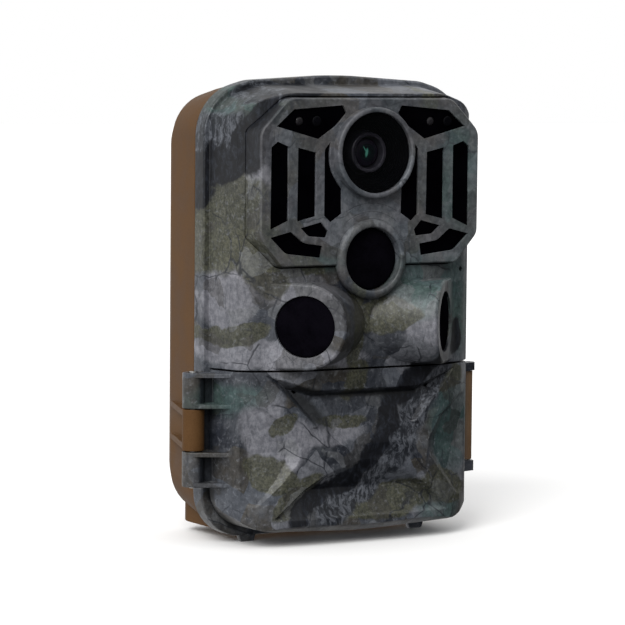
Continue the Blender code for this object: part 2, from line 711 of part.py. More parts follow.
def make_latch():
    low, high = LATCH_SPAN
    lever = rod((LATCH_X, LATCH_Y, low), (0, 0, 1), high - low, 1.9)
    arm = prism_z([
        (LATCH_X + 0.2, LATCH_Y, 0.0), (LATCH_X + 1.9, LATCH_Y, 0.0), (LATCH_X + 1.9, 29.5, 1.0),
        (-HINGE_X + HINGE_RADIUS, 33.6, 0.0), (-HINGE_X + HINGE_RADIUS - 1.2, 34.6, 0.0),
        (LATCH_X + 0.2, 30.2, 1.0),
    ], low, high, 3)
    join(lever, arm)
    cut(lever, rod((LATCH_X, LATCH_Y, low - 1), (0, 0, 1), high - low + 2, LATCH_PIN_RADIUS + GAP, 12))
    finish(lever, "latch_lever", BROWN, 0.5, pivot=(LATCH_X, LATCH_Y, 35))
    bottom = LATCH_LUGS[0][0]
    top = LATCH_LUGS[1][1]
    pin = rod((LATCH_X, LATCH_Y, bottom + 0.2), (0, 0, 1), top - bottom - 0.4, LATCH_PIN_RADIUS, 12)
    finish(pin, "latch_pin", STEEL, 0.3, 1.0)


# ---------------------------------------------------------------- control deck


def make_control_deck():
    deck = prism_y(
        rectangle(-DECK_HALF_WIDTH, DECK_BOTTOM, DECK_HALF_WIDTH, DECK_TOP, 3.0), DECK_FRONT, DECK_BACK)
    cut(
        deck,
        box((-31.3, 5, 17.7), (10.3, 14.6, 47.0)),
        box((15.2, 5, 11.9), (26.6, 15.4, 16.1)),
        box((-28.3, 5, 10.4), (-19.3, 16.4, 14.2)),
        box((1.7, 16.2, 18.7), (40, 18.8, 43.3)),
    )
    for x in KEY_COLUMNS:
        for z in KEY_ROWS:
            cut(deck, rod((x, 5, z), (0, 1, 0), 10.6, KEY_RADIUS + GAP, 10))
    finish(deck, "control_deck", DARK, 0.6)

    screen = box((-31.0, 12.2, 18.0), (10.0, 14.3, 46.7))
    finish(screen, "display_screen", (0.02, 0.025, 0.03), 0.1)
    names = iter(KEY_NAMES)
    for x in KEY_COLUMNS:
        for z in KEY_ROWS:
            key = turned((x, 10.6, z), (0, 1, 0), ((0, 2.1), (0.4, KEY_RADIUS), (4.3, KEY_RADIUS)), 10)
            finish(key, f"key_{next(names)}", GREY, 0.6, pivot=(x, 10.6, z))
    knob = box((15.5, 10.4, 12.2), (20.3, 15.1, 15.8))
    finish(knob, "power_switch", GREY, 0.5, pivot=(17.9, 10.4, 14.0))
    card = prism_y([
        (2.0, 19.0, 0.0), (35.2, 19.0, 0.0), (35.2, 43.0, 0.0), (4.5, 43.0, 0.0), (2.0, 40.5, 0.0),
    ], 16.5, 18.5)
    finish(card, "memory_card", (0.02, 0.05, 0.2), 0.4, pivot=(18.6, 17.5, 31.0))
    socket = box((-28.0, 12.0, 10.7), (-19.6, 16.1, 13.9))
    cut(socket, box((-27.5, 11.0, 11.2), (-20.1, 15.4, 13.4)))
    finish(socket, "usb_socket", STEEL, 0.3, 1.0)


# ---------------------------------------------------------------- battery tray


def cell_places():
    for y in CELL_ROWS_Y:
        for index in range(4):
            yield (index - 1.5) * CELL_PITCH, y


def make_battery_tray():
    floor = prism_z(
        rectangle(-TRAY_HALF_WIDTH, TRAY_FRONT, TRAY_HALF_WIDTH, TRAY_BACK, 2.6), TRAY_BOTTOM, TRAY_FLOOR)
    roof = prism_z(
        rectangle(-TRAY_HALF_WIDTH, TRAY_FRONT, TRAY_HALF_WIDTH, TRAY_BACK, 2.6), TRAY_ROOF, TRAY_TOP)
    for side in (-1, 1):
        x0, x1 = sorted((side * (TRAY_HALF_WIDTH - 1.3), side * (TRAY_HALF_WIDTH - 0.2)))
        join(floor, box((x0, 26.0, TRAY_FLOOR - 1), (x1, 49.0, TRAY_ROOF + 0.6)))
    middle = sum(CELL_ROWS_Y) / 2
    for x in (-CELL_PITCH, 0.0, CELL_PITCH):
        join(floor, rod((x, middle, TRAY_FLOOR - 1), (0, 0, 1), TRAY_ROOF - TRAY_FLOOR + 1.6, 2.3, 12))
    tray = join(floor, roof)
    finish(tray, "battery_tray", BROWN, 0.6, pivot=(0, middle, 0))
    for number, (x, y) in enumerate(cell_places(), 1):
        cell = turned((x, y, CELL_BOTTOM), (0, 0, 1), (
            (0.0, CELL_RADIUS), (CELL_LENGTH, CELL_RADIUS), (CELL_LENGTH + 0.01, 2.7),
            (CELL_LENGTH + 1.0, 2.7),
        ), 14)
        finish(cell, f"battery_{number}", (0.05, 0.05, 0.06), 0.3, pivot=(x, y, CELL_BOTTOM))


# ---------------------------------------------------------------- inside and fasteners


def gasket_outline(half_width, low, high):
    return symmetric([(half_width, low, 3.0), (half_width, high, 17.0)])


def make_inside():
    board = box((-24.2, 28.0, 62.0), (24.2, 29.6, 118.0))
    finish(board, "main_board", GREEN, 0.4)
    capsule = rod((35.2, 13.0, 81.2), (0, 1, 0), 3.0, 2.4)
    finish(capsule, "microphone", STEEL, 0.4, 0.8)
    gasket = prism_y(gasket_outline(42.2, 60.2, 132.0), 24.6, 27.6)
    cut(gasket, prism_y(gasket_outline(41.0, 61.4, 130.8), 20, 30))
    finish(gasket, "case_gasket", BLACK, 0.8)
    seal = prism_y(rectangle(-36.2, 6.6, 36.2, 50.2, 4.6), 18.9, DECK_BACK)
    opening = prism_y(rectangle(-34.6, 8.0, 34.6, 49.6, 3.4), 15, 25)
    finish(cut(seal, opening), "door_gasket", BLACK, 0.8)
    for number, (x, z) in enumerate(SCREW_PLACES, 1):
        screw = turned((x, 17.0, z), (0, 1, 0), ((0.0, 1.3), (29.9, 1.3), (29.91, 2.8), (32.2, 2.8)), 8)
        cut(screw, prism_x(rectangle(48.2, z - 0.4, 50, z + 0.4), x - 4, x + 4))
        finish(screw, f"case_screw_{number}", STEEL, 0.3, 1.0)
    insert = tube((0, 46.6, TRIPOD_Z), (0, 1, 0), CASE_BACK - 46.9, 3.1, TRIPOD_INSERT_RADIUS, 16)
    finish(insert, "tripod_insert", (0.6, 0.45, 0.15), 0.3, 1.0)


def main():
    for piece in list(bpy.data.objects):
        bpy.data.objects.remove(piece)
    make_front_shell()
    make_rear_case()
    make_grille_panel()
    make_infrared_windows()
    make_window_lamps()
    make_infrared_lamps()
    make_lens_group()
    make_motion_sensors()
    make_door()
    make_latch()
    make_control_deck()
    make_battery_tray()
    make_inside()


main()
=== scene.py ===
"""Looks of the trail camera: finer shells, door relief, camouflage print, light and camera."""

import math

import bmesh
import bpy
from mathutils import Matrix, Vector


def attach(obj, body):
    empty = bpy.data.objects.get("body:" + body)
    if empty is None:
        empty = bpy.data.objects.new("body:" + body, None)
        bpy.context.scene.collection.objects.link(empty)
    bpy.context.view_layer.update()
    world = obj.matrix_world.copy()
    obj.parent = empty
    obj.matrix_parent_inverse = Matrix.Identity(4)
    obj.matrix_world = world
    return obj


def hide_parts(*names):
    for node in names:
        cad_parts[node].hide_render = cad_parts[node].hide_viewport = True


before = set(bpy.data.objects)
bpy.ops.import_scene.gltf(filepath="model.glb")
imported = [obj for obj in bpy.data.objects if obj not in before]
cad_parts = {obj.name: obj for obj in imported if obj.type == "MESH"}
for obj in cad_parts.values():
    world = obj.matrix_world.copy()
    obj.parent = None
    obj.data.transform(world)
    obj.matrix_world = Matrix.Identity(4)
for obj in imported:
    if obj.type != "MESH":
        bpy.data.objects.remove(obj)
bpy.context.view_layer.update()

MM = 0.001  # sizes and places are in millimetres
ORIGIN_Y = 25  # depth of the frame's origin behind the face
GAP = 0.3
SEAT = 0.07  # joint line between pieces that are fixed together
ROUND = 72  # segments around a large circle
SMALL = 32  # segments around a small circle
STEPS = 10  # steps in each rounded corner
STRAIGHT = 0.5  # cosine of the sharpest bend inside one run of edges
FOLD_AREA = 2e-9  # square metres
FLAT = 1e4  # stretch along Y that makes a pattern the same at every depth
Y = (0, 1, 0)
Z = (0, 0, 1)

HALF_WIDTH = 45.6
RIM_FRONT = 20.3
RIM_BACK = 26
RIM_BOTTOM = 1.9
RIM_WALL = 3
DECK_WALL_BACK = 22.6
SPLIT = 52.7
FACE_FRONT = 1.7
CASE_FRONT = RIM_BACK + GAP
CASE_BACK = 54
BASE_HALF_WIDTH = 36
BASE_BOTTOM = 2.9
FOOT_X = 29.8
REAR_FOOT_BACK = 57
REAR_FOOT_HALF_WIDTH = 13
STRAP_RIB = (62, 110)
RIB_BACK = 62
TRIPOD_Z = 84
TRIPOD_BOSS_RADIUS = 8.4
TRIPOD_FRONT = 43.5
TRIPOD_FLOOR = 46.3
TRIPOD_INSERT_RADIUS = 6.3
LENS_Z = 116.9
LENS_RING_RADIUS = 13.5
LENS_RADIUS = 4.25
LENS_CROWN = 1.08
SENSOR_Z = 85.4
SENSOR_RADIUS = 11.9
SIDE_SENSOR = (24.5, -3.15, 66.1)
SIDE_TURN = math.radians(46.5)
SIDE_BOSS_RADIUS = 12.8
SIDE_WINDOW_RADIUS = 9
PANEL_DEPTH = 7.7
PANEL_PLATE = 1.9
POCKET_INSET = 2.2
COLUMN_HALF_WIDTH = 8.2
LENS_COLUMN_RADIUS = 14.3
SENSOR_COLUMN_RADIUS = 15
HINGE_X = -48.8
HINGE_Y = 20
HINGE_RADIUS = 3.3
HINGE_PIN_RADIUS = 1.2
DOOR_KNUCKLES = ((17.9, 28.3), (41.3, 51.8))
CASE_KNUCKLE = (28.6, 41)
FLANGE = 1.3
LATCH_X = 46.9
LATCH_Y = 19
LATCH_LUG_RADIUS = 2.4
LATCH_LUGS = ((17.4, 20.5), (48.7, 51.2))
LATCH_SPAN = (20.8, 48.4)
LATCH_PIN_RADIUS = 0.9
DOOR_HALF_WIDTH = 43.9
DOOR_BACK = 19.9
DOOR_BOTTOM = 3.5
DOOR_RISE = 2.1
DOOR_WALL = 2.2
DOOR_GRID = (220, 124)
DOOR_HOLLOW_BOTTOM = 6
TRAY_HALF_WIDTH = 31.2
SCREW_PLACES = ((-32, 67), (32, 67), (-29, 116.5), (29, 116.5))
MICROPHONE = (35.7, 81.2)
SHELF = (57.6, 59.4)  # the wall between the battery room and the upper room
RELIEF = 1.3  # strength of the door's embossing


# ------ outlines and solids


def rounded(corners, steps=STEPS):
    """Closed outline through (a, b) corners and (a, b, radius) corners, which are turned by an arc."""
    points = []
    count = len(corners)
    for index, (a, b, *arc) in enumerate(corners):
        here = Vector((a, b))
        radius = sum(arc)
        if radius == 0:
            points.append((a, b))
            continue
        before = Vector(corners[index - 1][:2]) - here
        after = Vector(corners[(index + 1) % count][:2]) - here
        half = before.angle(after) / 2
        middle = (before.normalized() + after.normalized()).normalized()
        centre = here + middle * (radius / math.sin(half))
        start = here + before.normalized() * (radius / math.tan(half)) - centre
        turn = start.angle_signed(here + after.normalized() * (radius / math.tan(half)) - centre)
        for step in range(steps + 1):
            angle = -turn * step / steps
            points.append((
                centre.x + start.x * math.cos(angle) - start.y * math.sin(angle),
                centre.y + start.x * math.sin(angle) + start.y * math.cos(angle),
            ))
    return points


def symmetric(right_half):
    return right_half + [(-a, *rest) for a, *rest in reversed(right_half) if a > 0]


def rectangle(a0, b0, a1, b1, radius=0):
    return [(a0, b0, radius), (a1, b0, radius), (a1, b1, radius), (a0, b1, radius)]


def inset(outline, amount):
    """The closed outline moved inwards by the amount, with its corners kept square to both sides."""
    turn = sum(a[0] * b[1] - b[0] * a[1] for a, b in zip(outline, outline[1:] + outline[:1]))
    sign = 1 if turn > 0 else -1
    moved = []
    for index, point in enumerate(outline):
        here = Vector(point)
        before = (here - Vector(outline[index - 1])).normalized()
        after = (Vector(outline[(index + 1) % len(outline)]) - here).normalized()
        across = Vector((-before.y - after.y, before.x + after.x)).normalized() * sign
        reach = amount / max(0.3, across.dot(Vector((-before.y, before.x)) * sign))
        moved.append(tuple(here + across * reach))
    return moved


def place(point):
    """A design point in millimetres, as a point of the frame in metres."""
    return (Vector(point) - Vector((0, ORIGIN_Y, 0))) * MM


def new_object(data, name):
    made = bpy.data.objects.new(name, data)
    bpy.context.scene.collection.objects.link(made)
    return made


def new_body(mesh, name="body"):
    data = bpy.data.meshes.new(name)
    mesh.to_mesh(data)
    mesh.free()
    return new_object(data, name)


def body_from(sections, closed_ring=False):
    """Closed body through sections of 3-D points, capped at both ends or joined end to end."""
    mesh = bmesh.new()
    rows = [[mesh.verts.new(place(point)) for point in section] for section in sections]
    pairs = list(zip(rows, rows[1:]))
    if closed_ring:
        pairs.append((rows[-1], rows[0]))
    for low, high in pairs:
        for index in range(len(low)):
            after = (index + 1) % len(low)
            mesh.faces.new((low[index], low[after], high[after], high[index]))
    if not closed_ring:
        mesh.faces.new(rows[0])
        mesh.faces.new(rows[-1])
    bmesh.ops.recalc_face_normals(mesh, faces=mesh.faces)
    return new_body(mesh)


def along_y(sections, steps=STEPS):
    return body_from([[(x, y, z) for x, z in rounded(corners, steps)] for y, corners in sections])


def prism_y(corners, y0, y1, steps=STEPS):
    return along_y([(y0, corners), (y1, corners)], steps)


def prism_z(corners, z0, z1, steps=STEPS):
    outline = rounded(corners, steps)
    return body_from([[(x, y, z) for x, y in outline] for z in (z0, z1)])


def prism_x(corners, x0, x1, steps=STEPS):
    outline = rounded(corners, steps)
    return body_from([[(x, y, z) for y, z in outline] for x in (x0, x1)])


def box(low, high):
    return prism_z(rectangle(low[0], low[1], high[0], high[1]), low[2], high[2])


def frame_of(axis):
    axis = Vector(axis).normalized()
    helper = Vector(Z) if abs(axis.z) < 0.9 else Vector((1, 0, 0))
    across = axis.cross(helper).normalized()
    return axis, across, across.cross(axis)


def turned(centre, axis, stations, segments=ROUND):
    """Solid of revolution through (distance along axis, radius) stations."""
    axis, across, up = frame_of(axis)
    sections = []
    angles = [2 * math.pi * k / segments for k in range(segments)]
    for distance, radius in stations:
        middle = Vector(centre) + axis * distance
        sections.append([
            middle + across * (radius * math.cos(a)) + up * (radius * math.sin(a)) for a in angles
        ])
    return body_from(sections)


def ring(centre, axis, profile, segments=ROUND):
    """Ring swept from a closed (distance along axis, radius) profile."""
    axis, across, up = frame_of(axis)
    sections = []
    for k in range(segments):
        angle = 2 * math.pi * k / segments
        arm = across * math.cos(angle) + up * math.sin(angle)
        sections.append([
            Vector(centre) + axis * distance + arm * radius for distance, radius in profile
        ])
    return body_from(sections, closed_ring=True)


def rod(centre, axis, length, radius, segments=SMALL):
    return turned(centre, axis, ((0, radius), (length, radius)), segments)


def combine(piece, tools, operation):
    for tool in tools:
        modifier = piece.modifiers.new("Combine", "BOOLEAN")
        modifier.operation = operation
        modifier.solver = "EXACT"
        modifier.object = tool
        graph = bpy.context.evaluated_depsgraph_get()
        data = bpy.data.meshes.new_from_object(piece.evaluated_get(graph))
        piece.modifiers.clear()
        piece.data = data
        bpy.data.objects.remove(tool)
    return piece


def cut(piece, *tools):
    return combine(piece, tools, "DIFFERENCE")


def join(piece, *others):
    return combine(piece, others, "UNION")


def common(piece, other):
    return combine(piece, (other,), "INTERSECT")


def sharp_chains(mesh, limit):
    """Sharp edges grouped into runs that go on without a corner."""
    sharp = [edge for edge in mesh.edges if edge.calc_face_angle(0) > limit]
    free = set(sharp)
    inside = set(sharp)
    chains = []
    for first in sharp:
        if first not in free:
            continue
        free.discard(first)
        chain = [first]
        for start in first.verts:
            edge, corner = first, start
            while True:
                near = [other for other in corner.link_edges if other in inside and other is not edge]
                if len(near) != 1 or near[0] not in free:
                    break
                onward = (near[0].other_vert(corner).co - corner.co).normalized()
                if onward.dot((corner.co - edge.other_vert(corner).co).normalized()) < STRAIGHT:
                    break
                edge, corner = near[0], near[0].other_vert(corner)
                free.discard(edge)
                chain.append(edge)
        chains.append(chain)
    return chains


def folded(mesh, faces):
    """True when one of the faces, cut into triangles, folds over itself."""
    for face in faces:
        face.normal_update()
    for loops in mesh.calc_loop_triangles():
        face = loops[0].face
        if len(face.verts) > 4 and face in faces:
            a, b, c = (loop.vert.co for loop in loops)
            if (b - a).cross(c - a).dot(face.normal) < -FOLD_AREA:
                return True
    return False


def soften(piece, width, angle=30):
    """Round every run of edges sharper than the angle, leaving out runs that would fold a face."""
    mesh = bmesh.new()
    mesh.from_mesh(piece.data)
    bmesh.ops.remove_doubles(mesh, verts=mesh.verts, dist=0.03 * MM)
    bmesh.ops.dissolve_degenerate(mesh, edges=mesh.edges, dist=0.02 * MM)
    bmesh.ops.dissolve_limit(mesh, angle_limit=math.radians(0.6), verts=mesh.verts, edges=mesh.edges)
    limit = math.radians(angle)
    run = mesh.edges.layers.int.new("run")
    lengths = {}
    for number, chain in enumerate(sharp_chains(mesh, limit), 1):
        lengths[number] = sum(edge.calc_length() for edge in chain)
        for edge in chain:
            edge[run] = number
    for number in sorted(lengths, key=lengths.get, reverse=True):
        if lengths[number] < MM:
            break
        spare = mesh.copy()
        edges = [edge for edge in mesh.edges if edge[run] == number]
        edges = [edge for edge in edges if edge.calc_face_angle(0) > limit / 2]
        made = bmesh.ops.bevel(
            mesh, geom=edges, offset=width * MM, segments=2, profile=0.5, affect="EDGES",
            clamp_overlap=True,
        )
        touched = {face for vert in made["verts"] for face in vert.link_faces}
        if folded(mesh, touched):
            mesh.free()
            mesh = spare
            run = mesh.edges.layers.int["run"]
        else:
            spare.free()
    mesh.to_mesh(piece.data)
    mesh.free()
    return piece


def show(piece, cad_node, paint, sharp=38, ending="skin", body="camera"):
    """Name the piece after its CAD node, paint it, let it ride on its body and stand for that node."""
    piece.name = piece.data.name = f"{cad_node}_{ending}"
    piece.data.materials.clear()
    piece.data.materials.append(paint)
    piece.data.shade_smooth()
    piece.data.set_sharp_from_angle(angle=math.radians(sharp))
    piece.modifiers.new("Weighted", "WEIGHTED_NORMAL").keep_sharp = True
    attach(piece, body)
    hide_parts(cad_node)


# ------ node materials


def is_socket(value):
    return isinstance(value, bpy.types.NodeSocket)


def fill(made, inputs):
    """Link each named input of the node to the given socket, or set it to the given value."""
    for key, value in inputs.items():
        if is_socket(value):
            made.id_data.links.new(value, made.inputs[key])
        else:
            made.inputs[key].default_value = value


def node(kind, inputs, **settings):
    """New shader node, in the tree of the sockets that feed it."""
    tree = next(value.id_data for value in inputs.values() if is_socket(value))
    made = tree.nodes.new("ShaderNode" + kind)
    for key, value in settings.items():
        setattr(made, key, value)
    fill(made, inputs)
    return made


def calc(operation, a, b=0, c=0):
    return node("Math", {0: a, 1: b, 2: c}, operation=operation).outputs[0]


def times(a, b):
    return calc("MULTIPLY", a, b)


def vector(operation, a, b=(0, 0, 0), output=0):
    return node("VectorMath", {0: a, 1: b}, operation=operation).outputs[output]


def separate(value, kind="SeparateXYZ"):
    return node(kind, {0: value}).outputs


def start_material(name):
    """A new material, its shader, and its object's coordinates in millimetres."""
    made = bpy.data.materials.new(name)
    made.use_nodes = True
    nodes = made.node_tree.nodes
    coordinates = nodes.new("ShaderNodeTexCoord").outputs["Object"]
    return made, nodes["Principled BSDF"], vector("MULTIPLY", coordinates, (1 / MM,) * 3)


def mixed(factor, a, b, blend="MIX"):
    """Colour b over colour a."""
    a, b = (value if is_socket(value) else (*value, 1) for value in (a, b))
    return node("Mix", {0: factor, 6: a, 7: b}, data_type="RGBA", blend_type=blend).outputs[2]


def spread(value, low, high, out_low=0, out_high=1, kind="SMOOTHSTEP"):
    inputs = {0: value, 1: low, 2: high, 3: out_low, 4: out_high}
    return node("MapRange", inputs, interpolation_type=kind).outputs[0]


def noise(where, size, detail=3, roughness=0.55, distortion=0, output="Fac"):
    """Noise whose grains are about size millimetres."""
    inputs = {"Vector": where, "Scale": 1 / size, "Detail": detail, "Roughness": roughness}
    return node("TexNoise", {**inputs, "Distortion": distortion}).outputs[output]


def cells(where, size, randomness=1, **settings):
    """Cells about size millimetres across."""
    inputs = {"Vector": where, "Scale": 1 / size, "Randomness": randomness}
    return node("TexVoronoi", inputs, **settings).outputs


def stretched(where, turn, scale):
    """Coordinates turned about Y and scaled, so that a pattern runs along a direction."""
    inputs = {"Vector": where, "Rotation": (0, math.radians(turn), 0), "Scale": scale}
    return node("Mapping", inputs).outputs[0]


def warped(where, size, amount, detail=3):
    shift = vector("SUBTRACT", noise(where, size, detail, output="Color"), (0.5, 0.5, 0.5))
    return vector("ADD", where, vector("MULTIPLY", shift, (amount,) * 3))


def radius_in(where, x, z, half_length=1, half_width=1, turn=0):
    """Distance in X and Z from (x, z), counted in half lengths and half widths of a leaning oval."""
    inputs = {
        "Vector": where, "Location": (x, 0, z), "Rotation": (0, -math.radians(turn), 0),
        "Scale": (half_length, FLAT, half_width),
    }
    return vector("LENGTH", node("Mapping", inputs, vector_type="TEXTURE").outputs[0], output="Value")


def patches(where, places, edge=0.12):
    """1 inside the oval patches, each of which leans up to the right."""
    total = None
    for oval in places:
        mask = spread(radius_in(where, *oval), 1 - edge, 1 + edge, 1, 0)
        total = mask if total is None else calc("MAXIMUM", total, mask)
    return total


def bumped(shader, height, strength, distance):
    inputs = {"Height": height, "Strength": strength, "Distance": distance * MM}
    fill(shader, {"Normal": node("Bump", inputs).outputs[0]})


LEAF_SIZE = 13
SCRAP_SIZE = 8
FAN_SECTORS = 1.75  # lighter and darker sectors per radian of a leaf
FOREMOST = (0.3, 0.9)  # the raised film fades out between these depths
GROOVE = (17, 18)  # the shade in the rim's groove sets in between these depths
PIXEL = 0.22
SLEEVE_BAND = (41.5, 41.9)
POCKET_MIDDLES = tuple((low + high) / 2 for low, high in DOOR_KNUCKLES)
# Ovals of the print, and of painted shade on the door's relief and in the rim's groove: (x, z, half
# length, half width, lean in degrees when it leans)
OLIVE_PATCHES = (
    (-42, 95, 15, 6, 78), (-34, 87, 12, 6.5, 100), (-44, 108, 7, 4, 60),
    (-24, 84, 9, 3.5, -15), (4, 69, 10, 5, 10), (-4, 49.5, 7, 3.5, 60),
    (-30, 22, 10, 5, -30), (-23, 14, 10, 4, 40), (8, 12, 22, 5, 4),
    (30, 16, 9, 5, -20), (31, 47, 7, 4, 30), (-40, 63.5, 8, 3.2, 8),
    (20, 130, 7, 3, 70), (-27, 36, 5, 2.5, 30), (-8, 38, 9, 2, 5),
    (-5, 66, 4, 13),
)
TEAL_PATCHES = (
    (-40, 131.5, 14, 6, 25), (-41, 45, 9, 4, 5), (24, 80, 16, 7),
    (36, 68, 13, 7, 90), (14, 76, 8, 8), (33, 35, 9, 14),
    (-20, 84, 8, 3), (28, 9, 7, 5), (30, 108, 7, 18),
)
PALE_PATCHES = (
    (-38.6, 109, 5.5, 2.6, 72), (-27, 77, 12, 4), (-24, 29, 9, 4.5, 62),
    (-13, 33, 13, 3.5, 12), (-36, 57.5, 12, 4), (13, 68, 4, 8, -20),
    (-33, 37, 6.5, 11), (-12, 56.5, 12, 3), (-42, 74, 4, 10),
    (17, 63, 5, 4),
)
DARK_BANDS = (
    (-20, 135, 9, 2.5, 10), (-33.5, 129.5, 7, 3, 60), (-39.2, 120.8, 8, 3.4, 62),
    (-43.5, 112, 8, 4.6, 56), (-47.5, 103.5, 8, 4.2, 70), (22.5, 57, 8, 5, 70),
    (16.5, 48.5, 8, 3.8, 52),
    (8.5, 38, 9, 3.9, 76), (3.5, 28, 7, 4, 52), (-5, 20.5, 9, 3.2, 40),
    (-18, 11.5, 10, 3, 38), (33, 61, 6, 3, 80), (26, 71, 2.5, 8),
)
# Painted shade on the door's relief and in the rim's groove, not print
SHADED_RELIEF = ((-19.5, 41.6, 9.5, 2.3, -43), (-18.5, 46.3, 6, 1.1, -15), (3, 45, 17, 1))
SHADED_RIM = ((-42.4, 14.5, 4.4, 1.3, -62), (-39.4, 9.9, 3.8, 1.3, -52), (-35.9, 6.2, 3.4, 1.3, -42))
BARK_STRIPS = (
    (-44.5, 121, 9, 5.5, 62), (-30, 134.5, 8, 3, 20),
    (26, 47, 9, 3.6, 46), (17.5, 38, 8, 5, 66), (12.5, 28.5, 8, 4.8, 62),
    (4, 18.5, 9, 4.4, 44), (-8, 11.5, 10, 3.8, 34),
)
# Painted green glints where the coated glass would reflect light
LENS_PAINTED_GLINTS = ((-0.3, LENS_Z - 0.1, 1.25, 0.42, 80), (-0.95, LENS_Z + 1, 0.9, 0.14, 118))


def leaf_print(where, soft, ragged):
    """Overlapping leaves and the patches among them."""
    leaves = cells(soft, LEAF_SIZE)
    tone = separate(leaves["Color"], "SeparateColor")
    colour = mixed(spread(tone[0], 0.15, 0.55), (0.027, 0.031, 0.041), (0.078, 0.087, 0.104))
    colour = mixed(spread(tone[0], 0.6, 0.95), colour, (0.175, 0.18, 0.2))
    colour = mixed(spread(tone[1], 0.74, 0.78), colour, (0.055, 0.05, 0.043))
    colour = mixed(spread(noise(where, 7, 4, 0.6), 0.4, 0.72, 0, 0.75), colour, (0.105, 0.112, 0.125))

    colour = mixed(times(patches(ragged, PALE_PATCHES, 0.2), 0.85), colour, (0.235, 0.235, 0.26))
    colour = mixed(times(patches(soft, TEAL_PATCHES, 0.45), 0.7), colour, (0.066, 0.12, 0.112))
    grain = spread(noise(where, 0.7, 2, 0.7), 0.35, 0.65)
    khaki = mixed(grain, (0.044, 0.045, 0.028), (0.09, 0.09, 0.06))
    colour = mixed(times(patches(ragged, OLIVE_PATCHES, 0.09), 0.9), colour, khaki)
    scrap = separate(cells(ragged, SCRAP_SIZE)["Color"], "SeparateColor")
    colour = mixed(spread(scrap[0], 0.8, 0.83, 0, 0.55), colour, (0.047, 0.044, 0.041))
    colour = mixed(spread(scrap[1], 0.86, 0.89, 0, 0.45), colour, (0.17, 0.175, 0.18))

    # Each leaf is a fan of lighter and darker sectors, with veins between them
    arm = vector("SUBTRACT", vector("MULTIPLY", soft, (1 / LEAF_SIZE,) * 3), leaves["Position"])
    parts = separate(arm)
    angle = calc("ARCTAN2", parts[2], parts[0])
    fan = calc("PINGPONG", calc("MULTIPLY_ADD", angle, FAN_SECTORS, tone[2]), 0.5)
    shade = spread(fan, 0, 0.5, 0.42, 0, "LINEAR")
    colour = mixed(shade, colour, (0.35, 0.36, 0.38), "MULTIPLY")
    width = times(fan, vector("LENGTH", arm, output="Value"))
    veins = times(spread(width, 0.003, 0.012, 1, 0), spread(noise(where, 9), 0.36, 0.56))
    return mixed(times(veins, 0.62), colour, (0.02, 0.023, 0.03))


def twigs_over(colour, where, soft):
    """Twigs and the dark outlines of leaves, then dark streaks and pale flecks."""
    twig = warped(where, 9, 4, 2)
    for size, wide, low, strength in ((19, 0.016, 0.44, 0.8), (9, 0.02, 0.52, 0.55)):
        edges = cells(twig, size, feature="DISTANCE_TO_EDGE")["Distance"]
        broken = spread(noise(twig, size * 0.7), low, low + 0.1)
        line = times(spread(edges, 0.003, wide, 1, 0), broken)
        colour = mixed(times(line, strength), colour, (0.012, 0.014, 0.02))
    streak = noise(stretched(soft, 64, (1, 1, 0.16)), 0.9, 3, 0.6)
    colour = mixed(spread(streak, 0.45, 0.8, 0, 0.6), colour, (0.2, 0.22, 0.26), "MULTIPLY")
    return mixed(spread(noise(soft, 1.3, 5, 0.7), 0.52, 0.72, 0, 0.45), colour, (0.21, 0.22, 0.245))


def bark_over(colour, ragged):
    """Dark bark bands, with pale flakes on the strips beside them."""
    flakes = noise(stretched(ragged, 42, (1, 1, 0.32)), 1.4, 5, 0.7, 0.6)
    dark = mixed(spread(flakes, 0.45, 0.72), (0.003, 0.0036, 0.006), (0.022, 0.026, 0.036))
    streaks = mixed(spread(flakes, 0.42, 0.62), (0.012, 0.014, 0.019), (0.1, 0.108, 0.125))
    colour = mixed(times(patches(ragged, BARK_STRIPS, 0.16), 0.95), colour, streaks)
    return mixed(times(patches(ragged, DARK_BANDS, 0.11), 0.97), colour, dark)


def film_over(colour, spot, soft, lift):
    """A paler film on the foremost faces."""
    film = noise(soft, 11)
    film_colour = mixed(spread(film, 0.4, 0.6), (0.105, 0.122, 0.13), (0.145, 0.145, 0.155))
    foremost = spread(spot[1], *(y - ORIGIN_Y for y in FOREMOST), 1, 0)
    return mixed(times(spread(film, 0.3, 0.7, lift * 0.6, lift), foremost), colour, film_colour)


def shade_over(colour, spot, where):
    """Shade in the hinge arms' pockets, under the door's band and notch, and in the rim's groove."""
    lower, upper, between = (
        calc("ABSOLUTE", calc("SUBTRACT", spot[2], middle))
        for middle in (*POCKET_MIDDLES, sum(POCKET_MIDDLES) / 2)
    )
    nearest = calc("MINIMUM", calc("MINIMUM", lower, upper), times(between, 0.6))
    pocket = spread(nearest, 3.6, 3.9, 1, 0)
    for axis, *limits in ((1, -10.4, -9.4, 0, 0.9), (0, -43.4, -42.6, 1, 0), (0, -49.3, -47.9, 0, 1)):
        pocket = times(pocket, spread(spot[axis], *limits))
    colour = mixed(pocket, colour, (0.006, 0.008, 0.012))
    groove = spread(spot[1], *(y - ORIGIN_Y for y in GROOVE))
    groove = times(groove, patches(where, SHADED_RIM, 0.5))
    shade = calc("MAXIMUM", patches(where, SHADED_RELIEF, 0.5), groove)
    return mixed(times(shade, 0.86), colour, (0.009, 0.01, 0.011))


